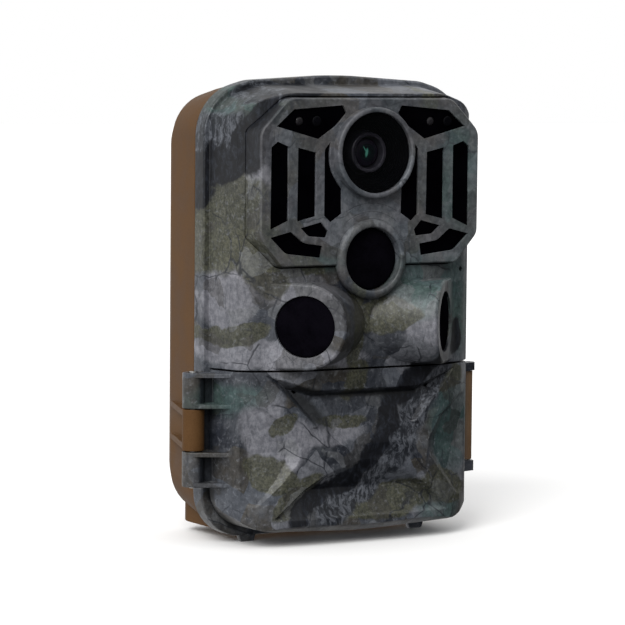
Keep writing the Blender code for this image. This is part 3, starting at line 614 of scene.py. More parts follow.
def camouflage(name, lift):
    """Printed bark and leaf camouflage with painted shade in the hinge pockets, on the door's relief
    and in the rim's groove, laid out in the object's own coordinates; lift pales it.
    """
    made, shader, where = start_material(name)
    soft = warped(where, 16, 9)
    ragged = warped(soft, 3.5, 2.6)
    spot = separate(where)
    colour = leaf_print(where, soft, ragged)
    colour = twigs_over(colour, where, soft)
    colour = bark_over(colour, ragged)
    colour = film_over(colour, spot, soft, lift)
    colour = shade_over(colour, spot, where)
    mottle = spread(noise(where, 1.7, 5, 0.7), 0.36, 0.64, 0, 0.55)
    colour = mixed(mottle, colour, (0.28, 0.29, 0.32), "MULTIPLY")
    speckle = spread(noise(where, 0.45, 1), 0.3, 0.7, 0, 0.16)
    colour = mixed(speckle, colour, (0.3, 0.3, 0.31), "OVERLAY")
    gloss = spread(noise(where, 7, 4, 0.6), 0.3, 0.7, 0.38, 0.52)
    fill(shader, {"Base Color": colour, "Roughness": gloss, "Specular IOR Level": 0.3})
    bumped(shader, noise(where, 0.35, 2), 0.12, 0.05)
    return made


def plastic(name, low, high, roughness, grain=0.5, bump=0.1, metallic=0, specular=0.5):
    """Moulded plastic or plated metal: two close tones, a fine grain and a soft variation in gloss."""
    made, shader, where = start_material(name)
    broad = noise(where, 9, 4, 0.6)
    fine = noise(where, grain, 2)
    tone = calc("ADD", times(broad, 0.65), times(fine, 0.35))
    fill(shader, {
        "Base Color": mixed(spread(tone, 0.35, 0.65), low, high),
        "Roughness": spread(broad, 0.3, 0.7, roughness * 0.9, roughness * 1.12),
        "Metallic": metallic, "Specular IOR Level": specular,
    })
    bumped(shader, fine, bump, 0.05)
    return made


def lens_paint():
    """Coated glass: a dark pupil, a painted green and violet sheen in rings, and painted green glints
    of reflected light.
    """
    made, shader, where = start_material("coated_lens")
    radius = radius_in(where, 0, LENS_Z)
    colour = mixed(spread(radius, 0.4, 1.4), (0.006, 0.02, 0.017), (0.002, 0.003, 0.004))
    colour = mixed(spread(radius, 2.3, 2.9), colour, (0.005, 0.002, 0.0065))
    ripple = spread(calc("PINGPONG", radius, 0.35), 0, 0.1, 0.3, 0)
    colour = mixed(ripple, colour, (0.012, 0.028, 0.026))
    colour = mixed(spread(noise(where, 1.2), 0.4, 0.7, 0, 0.5), colour, (0.004, 0.006, 0.009))
    # painted green glints stand in for light reflected off the coating
    colour = mixed(patches(where, LENS_PAINTED_GLINTS, 0.35), colour, (0.055, 0.2, 0.155))
    fill(shader, {
        "Base Color": colour, "Roughness": 0.04, "Specular IOR Level": 0.04,
        "Coat Weight": 0.03, "Coat Roughness": 0.02, "Coat Tint": (0.75, 1, 0.9, 1),
    })
    return made


def clear_paint():
    """Thin clear pane, as a low alpha in place of refraction."""
    made, shader, where = start_material("clear_cover")
    haze = noise(where, 6, 2)
    fill(shader, {
        "Base Color": mixed(haze, (0.01, 0.012, 0.014), (0.02, 0.022, 0.026)),
        "Roughness": spread(haze, 0.3, 0.7, 0.03, 0.06), "Alpha": 0.05,
    })
    return made


def screen_paint():
    """Dark display with a faint pixel grid."""
    made, shader, where = start_material("display_glass")
    spot = separate(where)
    columns, rows = (calc("PINGPONG", spot[axis], PIXEL / 2) for axis in (0, 2))
    grid = spread(calc("MINIMUM", columns, rows), 0, 0.03)
    colour = mixed(grid, (0.006, 0.008, 0.011), (0.02, 0.026, 0.033))
    colour = mixed(spread(noise(where, 14), 0.4, 0.7, 0, 0.4), colour, (0.012, 0.016, 0.026))
    fill(shader, {"Base Color": colour, "Roughness": 0.14})
    return made


def board_paint():
    """Coated circuit board with tracks and solder dots."""
    made, shader, where = start_material("circuit_board")
    dots = cells(where, 1 / 0.45, 0)["Distance"]
    tracks = separate(cells(where, 1 / 0.22, distance="MANHATTAN")["Color"], "SeparateColor")[0]
    colour = mixed(spread(tracks, 0.45, 0.55), (0.012, 0.085, 0.035), (0.018, 0.13, 0.05))
    colour = mixed(spread(dots, 0.16, 0.2, 0.7, 0), colour, (0.45, 0.42, 0.33))
    fill(shader, {"Base Color": colour, "Roughness": spread(tracks, 0, 1, 0.3, 0.45)})
    return made


def sleeve_paint():
    """Cell sleeve: dark with a lighter band at the top end and fine scuffs."""
    made, shader, where = start_material("cell_sleeve")
    band = spread(separate(where)[2], *SLEEVE_BAND)
    scuff = noise(stretched(where, 0, (1, 1, 0.2)), 1.5, 4)
    colour = mixed(band, (0.028, 0.03, 0.036), (0.42, 0.25, 0.1))
    colour = mixed(spread(scuff, 0.55, 0.75, 0, 0.35), colour, (0.3, 0.3, 0.31))
    gloss = spread(scuff, 0.3, 0.7, 0.22, 0.4)
    fill(shader, {"Base Color": colour, "Roughness": gloss, "Metallic": 0.5})
    return made


CAMO = camouflage("camouflage_print", 0)
CAMO_RAISED = camouflage("camouflage_raised", 0.42)
BROWN = plastic(
    "brown_moulded", (0.064, 0.0305, 0.0105), (0.086, 0.0435, 0.0165), 0.6, 0.4, 0.16, specular=0.08,
)
LEVER = plastic(
    "brown_polished", (0.13, 0.078, 0.042), (0.16, 0.1, 0.056), 0.42, 0.4, 0.12, specular=0.35,
)
WINDOW = plastic(
    "infrared_window", (0.0004, 0.0003, 0.0006), (0.0009, 0.0008, 0.0014), 0.3, 0.6, 0.01, specular=0,
)
DOME = plastic(
    "motion_window", (0.001, 0.0008, 0.0014), (0.0028, 0.0024, 0.004), 0.6, 0.35, 0.1, specular=0,
)
DECK = plastic("deck_moulded", (0.018, 0.018, 0.02), (0.03, 0.03, 0.033), 0.55, 0.35, 0.2)
GREY = plastic(
    "grey_ring", (0.014, 0.013, 0.019), (0.03, 0.029, 0.037), 0.35, 0.5, 0.04, 0.3, specular=0.2,
)
SHROUD = plastic(
    "shroud_black", (0.0004, 0.0004, 0.0005), (0.001, 0.001, 0.0013), 0.9, 0.4, 0.06, specular=0,
)
RUBBER = plastic("key_rubber", (0.16, 0.16, 0.165), (0.2, 0.2, 0.205), 0.7, 0.3, 0.15)
SWITCH = plastic("switch_plastic", (0.22, 0.22, 0.225), (0.28, 0.28, 0.285), 0.5, 0.3, 0.15)
SEAL = plastic("seal_rubber", (0.008, 0.008, 0.009), (0.016, 0.016, 0.017), 0.75, 0.3, 0.2)
STEEL = plastic("plated_steel", (0.42, 0.42, 0.42), (0.55, 0.55, 0.54), 0.28, 0.6, 0.08, metallic=1)
BRASS = plastic("turned_brass", (0.5, 0.36, 0.12), (0.62, 0.46, 0.18), 0.3, 0.4, 0.08, metallic=1)
CARD = plastic("card_plastic", (0.012, 0.03, 0.13), (0.02, 0.045, 0.18), 0.4, 0.4, 0.1)
LAMP = plastic(
    "lamp_lens", (0.003, 0.0027, 0.003), (0.013, 0.012, 0.014), 0.12, 0.5, 0.02, specular=0.2,
)
EYE = plastic(
    "light_sensor", (0.0012, 0.0012, 0.0018), (0.003, 0.003, 0.0045), 0.25, 0.5, 0.02, specular=0.06,
)
LENS = lens_paint()
CLEAR = clear_paint()
SCREEN = screen_paint()
BOARD = board_paint()
SLEEVE = sleeve_paint()

# ------ casing

RIM = symmetric([
    (HALF_WIDTH, RIM_BOTTOM, 13.5), (HALF_WIDTH, 133.4, 16), (29.5, 138, 14), (0, 139.8, 120),
])
RIM_NOSE = symmetric([(45, 2.5, 13), (45, 133, 15.6), (29.2, 137.4, 14), (0, 139.2, 120)])
RIM_EDGE = symmetric([(45.4, 2.1, 13.3), (45.4, 133.3, 15.9), (29.4, 137.8, 14), (0, 139.6, 120)])
RIM_INSIDE = symmetric([
    (HALF_WIDTH - RIM_WALL, RIM_BOTTOM + RIM_WALL, 10.5), (HALF_WIDTH - RIM_WALL, 131, 13),
    (28.5, 134.9, 12), (0, 136.7, 120),
])


def face_block(z0, z1):
    plan = symmetric([(43.8, 20.9), (40.4, 9.5, 1), (36.5, 6.2, 12), (24, FACE_FRONT, 20)])
    return prism_z(plan, z0, z1)


def rounded_top(width, top, corner):
    return symmetric([(width, SPLIT + 0.2), (width, top - 6.2, corner), (width * 0.62, top - 0.8, 20)])


def side_frame(side):
    """Centre of a side sensor's window, the way it looks, and the way along its face."""
    x, y, z = SIDE_SENSOR
    sine, cosine = math.sin(SIDE_TURN), math.cos(SIDE_TURN)
    return Vector((side * x, y, z)), Vector((side * sine, -cosine, 0)), Vector((side * cosine, sine, 0))


def side_boss(side):
    """A short barrel that faces outwards, with a straight-sided outer half."""
    centre, forward, outward = side_frame(side)
    up = Vector(Z)
    radius = SIDE_BOSS_RADIUS
    steps = 36
    outline = [(radius * 1.25, radius), (0, radius)]
    for k in range(1, steps):
        angle = math.pi / 2 + math.pi * k / steps
        outline.append((radius * math.cos(angle), radius * math.sin(angle)))
    outline += [(0, -radius), (radius * 1.25, -radius)]
    sections = []
    for depth, bevel in ((0, 0.9), (0.25, 0.35), (0.8, 0), (23, 0)):
        share = 1 - bevel / radius
        sections.append([
            centre - forward * depth + outward * (u * share) + up * (v * share) for u, v in outline
        ])
    return body_from(sections)


def panel_outline(grow=0):
    return symmetric([
        (30 + grow * 0.4, 83.6 - grow, 3),
        (37.7 + grow, 92.4 - grow * 0.4, 4),
        (37.8 + grow, 123.2 + grow * 0.4, 5),
        (28.3 + grow * 0.4, 133 + grow, 5),
    ])


def make_front_shell():
    shell = common(
        face_block(SPLIT, 145),
        along_y([(-2, rounded_top(42.2, 134.7, 14)), (21.2, rounded_top(44.6, 137.7, 14))]),
    )
    join(shell, along_y([
        (RIM_FRONT, RIM_NOSE), (RIM_FRONT + 0.25, RIM_EDGE), (RIM_FRONT + 0.7, RIM), (RIM_BACK, RIM),
    ]))
    for side in (-1, 1):
        middle = side * FOOT_X
        foot = [
            (middle - 2.2, 0, 0.6), (middle + 2.2, 0, 0.6), (middle + 4, 5),
            (middle + 4, 9), (middle - 4, 9), (middle - 4, 5),
        ]
        join(shell, side_boss(side), prism_y(foot, RIM_FRONT + 0.3, RIM_FRONT + 2.2))
    wall = prism_y(RIM_INSIDE, DECK_WALL_BACK, RIM_BACK + 2)
    upper = prism_y(rectangle(-38.6, 57, 38.6, 131, 9), 12.6, RIM_BACK + 3)
    cut(shell, wall, upper, prism_y(rectangle(-19, 58, 19, 76, 3), 4.9, 13.5))
    cut(shell, along_y([(-4, panel_outline(SEAT)), (PANEL_DEPTH + GAP, panel_outline(SEAT + 0.95))]))
    for side in (-1, 1):
        near, far = sorted((side * 11, side * 33))
        centre, forward, _ = side_frame(side)
        socket = turned(centre + forward * 2, -forward, (
            (0, SIDE_WINDOW_RADIUS + SEAT), (4.8, SIDE_WINDOW_RADIUS + SEAT), (4.9, 7.4), (20, 7.4),
        ))
        cut(shell, prism_y(rectangle(near, 94, far, 121, 2), 6, 14), socket)
    cut(
        shell,
        rod((0, -4, LENS_Z), Y, 20, LENS_RING_RADIUS + SEAT, ROUND),
        rod((0, -4, SENSOR_Z), Y, 5.4, SENSOR_RADIUS + SEAT, ROUND),
        rod((0, -4, SENSOR_Z), Y, 20, 10.9, ROUND),
        rod((MICROPHONE[0], -1, MICROPHONE[1]), Y, 16, 0.8, 16),
    )
    cut(shell, box((-TRAY_HALF_WIDTH - GAP, DECK_WALL_BACK, -1), (TRAY_HALF_WIDTH + GAP, 30, 8)))
    show(soften(shell, 0.35), "front_shell", CAMO)


def case_section(wall, y, width, low, high, corner, crown):
    """One section of the rear case, or of its hollow, at depth y."""
    return (y, symmetric([
        (width - wall, low + wall, corner), (width - wall, high - 5.6 - wall, corner),
        (width * 0.6, high - wall, 20), (0, high + crown - wall, 120),
    ]))


def case_body(wall, front, back):
    return along_y([
        case_section(wall, front, 45.4, 2.3, 138, 15, 1.2),
        case_section(wall, 46, 42.6, 6, 135.8, 14, 0.4),
        case_section(wall, back - 2.6, 40.2, 8.6, 133.2, 13, 0.4),
        case_section(wall, back, 37, 11.8, 129.8, 12, 0.4),
    ])


def gusset(z0, z1):
    corners = [
        (HINGE_X - HINGE_RADIUS * 0.95, HINGE_Y + 0.6), (HINGE_X + 1.5, HINGE_Y + 0.6),
        (HINGE_X + 1.5, CASE_FRONT), (-40, CASE_FRONT),
        (-40, 46), (-42.6, 46),
    ]
    return prism_z(corners, z0, z1)


def make_rear_case():
    case = case_body(0, CASE_FRONT, CASE_BACK)
    base = prism_z([
        (-BASE_HALF_WIDTH, CASE_FRONT), (BASE_HALF_WIDTH, CASE_FRONT),
        (BASE_HALF_WIDTH, CASE_BACK, 7), (-BASE_HALF_WIDTH, CASE_BACK, 7),
    ], BASE_BOTTOM, 20)
    foot = prism_x([
        (CASE_BACK - 1.5, 0), (REAR_FOOT_BACK, 0, 0.6), (REAR_FOOT_BACK, 7, 1),
        (CASE_BACK - 0.6, 15), (CASE_BACK - 1.5, 15),
    ], -REAR_FOOT_HALF_WIDTH, REAR_FOOT_HALF_WIDTH)
    join(case, base, foot)
    hollow = case_body(2, RIM_BACK - 1, CASE_BACK - 1.7)
    cut(hollow, box((-50, 20, SHELF[0]), (50, 60, SHELF[1])))
    cut(case, hollow)
    cut(case, prism_z(rectangle(-TRAY_HALF_WIDTH - GAP, 20, TRAY_HALF_WIDTH + GAP, 52.4, 3), -2, 24))
    low, high = CASE_KNUCKLE
    knuckle = rod((HINGE_X, HINGE_Y, low), Z, high - low, HINGE_RADIUS, 48)
    join(case, knuckle, gusset(low + 0.4, low + 2.2), gusset(high - 2.2, high - 0.4))
    join(case, prism_z([
        (HINGE_X - 0.8, HINGE_Y + 1), (HINGE_X + 0.8, HINGE_Y + 1),
        (HINGE_X + 4.6, 32), (HINGE_X + 2.8, 32),
    ], low + 1, high - 1))
    cut(case, rod((HINGE_X, HINGE_Y, low - 1), Z, high - low + 2, HINGE_PIN_RADIUS + GAP))
    join(case, prism_z([(43, 28.6), (46.4, 28.9), (46.4, 30.4), (43, 31.8)], 26, 43))
    low, high = STRAP_RIB
    for side in (-1, 1):
        rib = prism_x([
            (53, low), (58.6, low + 2, 1), (RIB_BACK, low + 6, 1),
            (RIB_BACK, high - 6, 1), (58.6, high - 2, 1), (53, high),
        ], side * 24, side * 28.5)
        join(case, rib)
        cut(case, prism_x(rectangle(54.5, low + 9, 59.2, high - 9, 1), side * 20, side * 33))
    boss_length = CASE_BACK - 0.2 - TRIPOD_FRONT
    join(case, rod((0, TRIPOD_FRONT, TRIPOD_Z), Y, boss_length, TRIPOD_BOSS_RADIUS, 48))
    cut(
        case, rod((0, TRIPOD_FLOOR, TRIPOD_Z), Y, 12, TRIPOD_INSERT_RADIUS + GAP, 48),
        rod((0, 40, TRIPOD_Z), Y, 10, 2.6, 24),
    )
    for x, z in SCREW_PLACES:
        join(case, rod((x, CASE_FRONT, z), Y, 27, 4.3, 24))
        cut(case, turned((x, 0, z), Y, ((20, 1.8), (46.6, 1.8), (46.7, 3.2), (60, 3.2)), 32))
    show(soften(case, 0.4), "rear_case", BROWN)


# ------ grille panel


def column(grow=0):
    neck = box((-COLUMN_HALF_WIDTH - grow, -5, 80), (COLUMN_HALF_WIDTH + grow, 12, 140))
    lens = rod((0, -6, LENS_Z), Y, 19, LENS_COLUMN_RADIUS + grow, ROUND)
    sensor = rod((0, -6.5, SENSOR_Z), Y, 20, SENSOR_COLUMN_RADIUS + grow, ROUND)
    return join(neck, lens, sensor)


def panel_pocket(wall, y0, y1, grow):
    return cut(prism_y(panel_outline(-wall), y0, y1), column(grow))


PANEL_WINDOWS = (
    ((32.6, 124.7), (26.9, 129.5), (10.1, 130.9), (8.9, 128.6),
     (12.4, 124.9, 5), (18.4, 120.9)),
    ((34.3, 94.6), (34.3, 118.6), (32.2, 120.3), (28.5, 118.9), (28.5, 97.1)),
    ((25.3, 96.9), (25.3, 118.5), (19.2, 117), (19.2, 98.3)),
    ((14, 96.4), (16.2, 98.4), (16.2, 118), (14.3, 120.2),
     (14.9, 112.4, 12), (10.3, 106.2), (10.2, 98.9)),
    ((21.5, 92.5, 1.5), (24.2, 94.9), (17.4, 96.6), (14.9, 93.9), (15.6, 92)),
    ((29.2, 87.5, 3), (34.3, 92.3), (27.6, 94), (23.2, 90.4, 5), (16.8, 89.6),
     (17.4, 86.1)),
)
WINDOW_FRONT = 0.55
LAMP_Z = 126.2
WINDOW_LAMPS = {"left": ((-24.5, 1.5), (-18.6, 1.7)), "right": ((20.9, 1.5), (27, 1.7))}


def make_grille_panel():
    panel = along_y([
        (0, panel_outline(-0.35)), (0.5, panel_outline(0)), (PANEL_DEPTH, panel_outline(0.9)),
    ])
    cut(panel, panel_pocket(POCKET_INSET, PANEL_PLATE, PANEL_DEPTH + 2, 0))
    for window in PANEL_WINDOWS:
        for side in (-1, 1):
            corners = [(side * x, *rest) for x, *rest in window]
            cut(panel, prism_y(corners, -2, PANEL_PLATE + 0.6, 6))
    cut(
        panel,
        rod((0, -3, LENS_Z), Y, 14, LENS_RING_RADIUS - 0.8, ROUND),
        rod((0, -3, SENSOR_Z), Y, 14, SENSOR_RADIUS + SEAT, ROUND),
    )
    for radius in (SENSOR_RADIUS + 2, SENSOR_RADIUS + 4.6):
        groove = ring((0, 0, SENSOR_Z), Y, (
            (-0.4, radius - 0.12), (-0.4, radius + 0.12), (0.14, radius + 0.12), (0.14, radius - 0.12),
        ))
        cut(groove, box((-40, -5, 60), (40, 5, SENSOR_Z + 2)))
        cut(panel, common(groove, box((-8.8, -5, 80), (8.8, 5, 120))))
    show(soften(panel, 0.22), "grille_panel", CAMO_RAISED)


def make_infrared_windows():
    for side, name in ((-1, "left"), (1, "right")):
        window = panel_pocket(POCKET_INSET + GAP, PANEL_PLATE + GAP, PANEL_PLATE + GAP + 1.3, GAP)
        common(window, box((min(0, side * 50), -5, 60), (max(0, side * 50), 20, 150)))
        for opening in PANEL_WINDOWS:
            outline = rounded([(side * x, *rest) for x, *rest in opening], 6)
            join(window, body_from([
                [(x, y, z) for x, z in inset(outline, gap)] for y, gap in (
                    (WINDOW_FRONT, SEAT + 0.12), (WINDOW_FRONT + 0.12, SEAT),
                    (PANEL_PLATE + GAP + 0.5, SEAT),
                )
            ]))
        (lamp_x, lamp_radius), (eye_x, eye_radius) = WINDOW_LAMPS[name]
        for x, radius in WINDOW_LAMPS[name]:
            cut(window, rod((x, -1, LAMP_Z), Y, 9, radius + SEAT, ROUND))
        show(window, f"infrared_window_{name}", WINDOW)
        facets, sharp = (10, 12) if side > 0 else (SMALL, 38)
        lamp = turned((lamp_x, WINDOW_FRONT, LAMP_Z), Y, (
            (0, 0.5), (0.12, 0.9), (0.4, lamp_radius * 0.88), (0.8, lamp_radius), (4.6, lamp_radius),
        ), facets)
        show(lamp, f"signal_lamp_{name}", LAMP, sharp, "lens")
        eye = turned((eye_x, WINDOW_FRONT + 0.05, LAMP_Z), Y, (
            (0, eye_radius * 0.6), (0.15, eye_radius * 0.9), (0.35, eye_radius), (4.5, eye_radius),
        ), SMALL)
        show(eye, f"light_sensor_{name}", EYE, ending="lens")


# ------ lens and motion sensors


def make_lens_group():
    centre = (0, 0, LENS_Z)
    outer = LENS_RING_RADIUS
    inner = outer - 1.55
    spigot = outer - 1.1
    lens_ring = ring(centre, Y, (
        (-2.95, inner + 0.1), (-3.1, inner + 0.35), (-3.1, outer - 0.7), (-3, outer - 0.35),
        (-2.75, outer - 0.1), (-2.4, outer), (-SEAT, outer), (-SEAT, spigot),
        (7.4, spigot), (7.4, inner), (-2.8, inner),
    ), 120)
    show(lens_ring, "lens_ring", CAMO_RAISED)
    cover = rod((0, -2.2, LENS_Z), Y, 0.3, inner - GAP, ROUND)
    show(cover, "lens_cover", CLEAR, ending="glass")

    # the shroud steps down to the barrel like a staircase
    steps, mouth, throat = 9, (-1.85, 10.9), (5.2, 6.9)
    outline = [
        mouth, (-1.9, inner - GAP), (-1, inner - GAP), (6, 7.9), (7, 7.9), (7, throat[1]), throat,
    ]
    for step in range(steps):
        depth = throat[0] + (mouth[0] - throat[0]) * step / steps
        radius = throat[1] + (mouth[1] - throat[1]) * step / steps
        outline += [(depth - 0.35, radius + 0.05), (depth - 0.38, radius + 0.3)]
    show(ring(centre, Y, outline), "lens_shroud", SHROUD, 25)
    barrel = ring(centre, Y, (
        (1.75, 4.85), (1.6, 5.05), (1.6, 5.75), (1.8, 5.98), (8, 6.2), (8, 7.4),
        (18.6, 7.4), (18.6, 4.6), (4, 4.6),
    ), 96)
    show(barrel, "lens_barrel", GREY)
    stations = [
        (LENS_CROWN * (1 - math.cos(math.asin(radius / LENS_RADIUS))), radius)
        for radius in (0.3, 0.9, 1.5, 2.1, 2.7, 3.3, 3.8, 4.1)
    ]
    element = turned((0, 2.6, LENS_Z), Y, stations + [(1.3, LENS_RADIUS), (3, LENS_RADIUS)])
    show(element, "lens_element", LENS, 60, "glass")


def make_motion_sensors():
    outer = SENSOR_RADIUS
    inner = 9.35
    sensor_ring = ring((0, 0, SENSOR_Z), Y, (
        (-1.2, inner), (-1.6, inner + 0.25), (-1.7, inner + 0.6), (-1.68, 10.5), (-1.5, 10.95),
        (-1.15, 11.4), (-0.7, 11.75), (-0.2, outer), (1.1, outer), (1.1, 10.6),
        (8.4, 10.6), (8.4, inner),
    ), 120)
    show(sensor_ring, "motion_ring_center", CAMO_RAISED, 50)
    dome = [(0.55 * (1 - math.cos(math.pi / 2 * r / 9.05)), r) for r in (1, 2.5, 4, 5.5, 7, 8, 8.6)]
    dome += [(0.75, 8.95), (1, 9.05), (2.2, 9.05)]
    places = [("center", Vector((0, 0.2, SENSOR_Z)), Y)]
    for side, name in ((-1, "left"), (1, "right")):
        centre, forward, _ = side_frame(side)
        places.append((name, centre - forward * 0.1, -forward))
    for name, centre, inward in places:
        window = turned(centre, inward, dome)
        show(window, f"motion_window_{name}", DOME, 60)


# ------ door and latch

FACE_PLAN = (
    (0, 1.7), (16, 1.75), (21, 2.05), (27.6, 2.95), (32.3, 4.45), (36.7, 6.55), (40.4, 9.5),
    (DOOR_HALF_WIDTH, 20.9),
)
BAY_EDGE = (
    (12, 35.5), (14.6, 32.7), (20.3, 27.1), (25.2, 23.1), (27.5, 22.2), (29.8, 22.3), (37.2, 26.8),
    (41.8, 33.6), (44, 37),
)
BELLY_EDGE = ((0, 25.4), (2.1, 25.2), (14.2, 21.4), (20.8, 17.3), (27.2, 11.6), (31, 7.6))


def along(points, value):
    """Straight-line reading of (position, value) points."""
    if value <= points[0][0]:
        return points[0][1]
    for (a, low), (b, high) in zip(points, points[1:]):
        if value <= b:
            return low + (high - low) * (value - a) / (b - a)
    return points[-1][1]


def limited(value):
    return min(1, max(0, value))


def door_relief(x, z):
    """How deep the embossed face lies below the bowed front at this place, in millimetres."""
    reach = abs(x)
    # upper pocket, deep under the top band and rising to the middle
    slant = (16.7 + (z - 35.3) * 1.01 - reach) * 0.7
    ledge = 46.6 + max(0, reach - 18) * 0.34 - z
    floor = 0.75 + 1.75 * (z - 35.4) / 11
    upper = min(floor, 1.15 * slant, 1.35 * ledge, 0.75 + 0.9 * (z - 35)) if z > 35 else 0
    if z <= 35.4 and z > 30.2:
        upper = 0.75 * (z - 30.2) / 5.2 * limited((19.5 - reach) / 3.5)
    # belly: the underside that falls to the lower pocket
    edge = along(BELLY_EDGE, reach)
    drop = edge - z
    fall = max(edge - 17, 1.6)
    lower_floor = 1 + 1.3 * limited((z - 9.6) / 7.4)
    lower = min(lower_floor, 2.3 * drop / fall) if drop > 0 else 0
    lower = min(lower, max(0, 1 * (z - 8.3)))
    # side bays beyond the arms
    bay_edge = along(BAY_EDGE, z)
    out = reach - bay_edge
    waist = limited(1 - abs(z - 28.6) / 15)
    bay = (0.5 + 1.3 * waist) * limited(out / (0.9 + 3 * waist)) if 12 < z < 44 else 0
    bay *= limited((39.6 - reach) / 3) * limited((z - 12) / 1.6) * limited((44 - z) / 1.6)
    return RELIEF * max(0, upper, lower, bay)


def door_face():
    """Grid in front of the door's front, with the relief pressed in, closed at its back."""
    columns, rows = DOOR_GRID
    low, high = DOOR_BOTTOM - 0.2, SPLIT - GAP
    mesh = bmesh.new()
    front, back = [], []
    for row in range(rows + 1):
        z = low + (high - low) * row / rows
        front.append([])
        back.append([])
        for step in range(columns + 1):
            x = DOOR_HALF_WIDTH * (2 * step / columns - 1)
            y = along(FACE_PLAN, abs(x)) + door_relief(x, z)
            front[row].append(mesh.verts.new(place((x, min(y, 20.5), z))))
            back[row].append(mesh.verts.new(place((x, RIM_BACK, z))))
    for row in range(rows):
        for c in range(columns):
            mesh.faces.new((front[row][c], front[row][c + 1], front[row + 1][c + 1], front[row + 1][c]))
            mesh.faces.new((back[row][c + 1], back[row][c], back[row + 1][c], back[row + 1][c + 1]))
        mesh.faces.new((front[row + 1][0], back[row + 1][0], back[row][0], front[row][0]))
        mesh.faces.new((front[row][-1], back[row][-1], back[row + 1][-1], front[row + 1][-1]))
    for c in range(columns):
        mesh.faces.new((front[0][c + 1], front[0][c], back[0][c], back[0][c + 1]))
        mesh.faces.new((front[-1][c], front[-1][c + 1], back[-1][c + 1], back[-1][c]))
    bmesh.ops.recalc_face_normals(mesh, faces=mesh.faces)
    return new_body(mesh)


def door_outline(width, bottom, corner):
    return [
        (width, SPLIT - GAP), (-width, SPLIT - GAP),
        (-width, bottom + DOOR_RISE, corner), (0, bottom, 200), (width, bottom + DOOR_RISE, corner),
    ]


def hinge_arm(z0, z1):
    barrel = rod((HINGE_X, HINGE_Y, z0), Z, z1 - z0, HINGE_RADIUS, 48)
    flange = [
        (HINGE_X - 2.6, HINGE_Y - 1), (HINGE_X - 1.2, HINGE_Y - HINGE_RADIUS),
        (-41, 11.6), (-41, 19.4), (HINGE_X, DOOR_BACK),
    ]
    web = [
        (HINGE_X + 1, HINGE_Y - 1.4), (-41.4, 18.4), (-41.4, 19.6),
        (HINGE_X + 1, HINGE_Y - 0.4),
    ]
    return join(
        barrel, prism_z(flange, z0, z0 + FLANGE), prism_z(flange, z1 - FLANGE, z1),
        prism_z(web, z0 + 0.5, z1 - 0.5),
    )


def make_door():
    door = common(door_face(), along_y([
        (0.5, door_outline(43.2, 6.4, 13)),
        (5, door_outline(43.6, DOOR_BOTTOM, 13)),
        (DOOR_BACK - 0.9, door_outline(43.9, DOOR_BOTTOM, 12.5)),
        (DOOR_BACK, door_outline(43.2, DOOR_BOTTOM + 0.7, 12)),
    ]))
    hollow = common(
        prism_z(
            symmetric([(41, 21), (37.6, 11), (34.6, 9.2), (23, 5.4)]),
            DOOR_HOLLOW_BOTTOM, SPLIT - DOOR_WALL,
        ),
        prism_y([
            (40.8, 60), (-40.8, 60),
            (-40.8, DOOR_HOLLOW_BOTTOM, 10.5), (40.8, DOOR_HOLLOW_BOTTOM, 10.5),
        ], 2, 24),
    )
    cut(door, hollow)
    for z0, z1 in DOOR_KNUCKLES:
        join(door, hinge_arm(z0, z1))
        cut(door, rod((HINGE_X, HINGE_Y, z0 - 1), Z, z1 - z0 + 2, HINGE_PIN_RADIUS + GAP))
    for z0, z1 in LATCH_LUGS:
        join(door, prism_z([
            (41.2, 14.6), (LATCH_X + 1.6, LATCH_Y - LATCH_LUG_RADIUS, 1.2),
            (LATCH_X + LATCH_LUG_RADIUS, LATCH_Y, 1.2),
            (LATCH_X + 1.6, LATCH_Y + LATCH_LUG_RADIUS - 1.2, 1), (41.2, DOOR_BACK - 0.2),
        ], z0, z1, 6))
    cut(door, rod((LATCH_X, LATCH_Y, 10), Z, 50, LATCH_PIN_RADIUS + GAP))
    show(soften(door, 0.25, 42), "door_cover", CAMO, 45, body="door")


def make_latch():
    low, high = LATCH_SPAN
    lever = rod((LATCH_X, LATCH_Y, low), Z, high - low, 1.9, 40)
    join(lever, prism_z([
        (LATCH_X + 0.2, LATCH_Y), (LATCH_X + 1.9, LATCH_Y), (LATCH_X + 1.9, 29.5, 1),
        (-HINGE_X + HINGE_RADIUS, 33.6), (-HINGE_X + HINGE_RADIUS - 1.2, 34.6),
        (LATCH_X + 0.2, 30.2, 1),
    ], low, high, 6))
    cut(lever, rod((LATCH_X, LATCH_Y, low - 1), Z, high - low + 2, LATCH_PIN_RADIUS + GAP))
    show(soften(lever, 0.2), "latch_lever", LEVER, body="latch")


# ------ kept CAD nodes

KEPT = (
    (DECK, ("control_deck",)),
    (SCREEN, ("display_screen",)),
    (RUBBER, tuple(f"key_{name}" for name in ("menu", "ok", "up", "down", "mode", "replay"))),
    (SWITCH, ("power_switch",)),
    (CARD, ("memory_card",)),
    (SEAL, ("case_gasket", "door_gasket")),
    (BOARD, ("main_board", "sensor_board", "infrared_lamps_left", "infrared_lamps_right")),
    (SLEEVE, tuple(f"battery_{k}" for k in range(1, 9))),
    (BROWN, ("battery_tray",)),
    (LENS, ("infrared_cut_filter",)),
    (BRASS, ("tripod_insert",)),
    (STEEL, tuple(f"case_screw_{k}" for k in range(1, 5))),
    (STEEL, tuple(f"motion_sensor_{name}" for name in ("center", "left", "right"))),
    (STEEL, ("hinge_pin", "latch_pin", "usb_socket", "microphone")),
)


def paint_kept():
    for paint, names in KEPT:
        for name in names:
            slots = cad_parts[name].data.materials
            slots.clear()
            slots.append(paint)


# ------ stage, light and camera

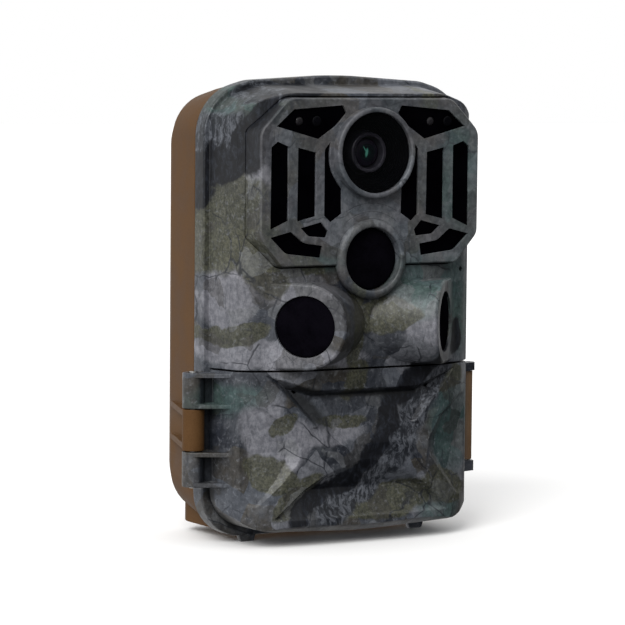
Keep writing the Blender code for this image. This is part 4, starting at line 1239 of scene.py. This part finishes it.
DARK_SIDE = (0.62, -0.5, -0.6)
KEY_SIDE = (-0.62, -0.49, 0.62)
KEY_STRENGTH = 2.5
KEY_WIDTH = 36  # degrees
CAMERA_SPOT = (-474.15, -770.99, 141.17)
CAMERA_AIM = (-20.02, 0, 70.07)
CAMERA_ROLL = 0.52  # degrees
CAMERA_LENS = 175.9
FLOOR_SIZE = 6  # metres


def make_stage():
    mesh = bmesh.new()
    bmesh.ops.create_grid(mesh, x_segments=1, y_segments=1, size=FLOOR_SIZE)
    floor = new_body(mesh, "floor")
    paint, shader, where = start_material("pale_floor")
    tone = mixed(noise(where, 400), (0.86, 0.86, 0.86), (0.9, 0.9, 0.9))
    fill(shader, {"Base Color": tone, "Roughness": 0.9, "Specular IOR Level": 0.1})
    floor.data.materials.append(paint)
    floor.visible_diffuse = False
    floor.visible_glossy = False


def make_light():
    """White surround with a dark corner in front on the right, and a broad soft light from the left."""
    world = bpy.data.worlds.new("studio")
    world.use_nodes = True
    nodes = world.node_tree.nodes
    direction = nodes.new("ShaderNodeTexCoord").outputs["Generated"]
    side = vector("DOT_PRODUCT", direction, Vector(DARK_SIDE).normalized(), output="Value")
    fill(nodes["Background"], {"Color": (1, 1, 1, 1), "Strength": spread(side, 0, 0.8, 1, 0.05)})
    bpy.context.scene.world = world
    lamp = bpy.data.lights.new("key", "SUN")
    lamp.energy = KEY_STRENGTH
    lamp.angle = math.radians(KEY_WIDTH)
    lamp.color = (1, 0.99, 0.975)
    made = new_object(lamp, "key")
    made.rotation_euler = (-Vector(KEY_SIDE)).to_track_quat("-Z", "Y").to_euler()


def make_camera():
    lens = bpy.data.cameras.new("camera_view")
    lens.lens = CAMERA_LENS
    lens.sensor_width = 36
    made = new_object(lens, "camera_view")
    spot = place(CAMERA_SPOT)
    aim = (place(CAMERA_AIM) - spot).to_track_quat("-Z", "Y").to_matrix().to_4x4()
    roll = Matrix.Rotation(math.radians(CAMERA_ROLL), 4, "Z")
    made.matrix_world = Matrix.Translation(spot) @ aim @ roll
    bpy.context.scene.camera = made


make_front_shell()
make_rear_case()
make_grille_panel()
make_infrared_windows()
make_lens_group()
make_motion_sensors()
make_door()
make_latch()
paint_kept()
make_stage()
make_light()
make_camera()
bpy.context.scene.view_settings.view_transform = "Standard"
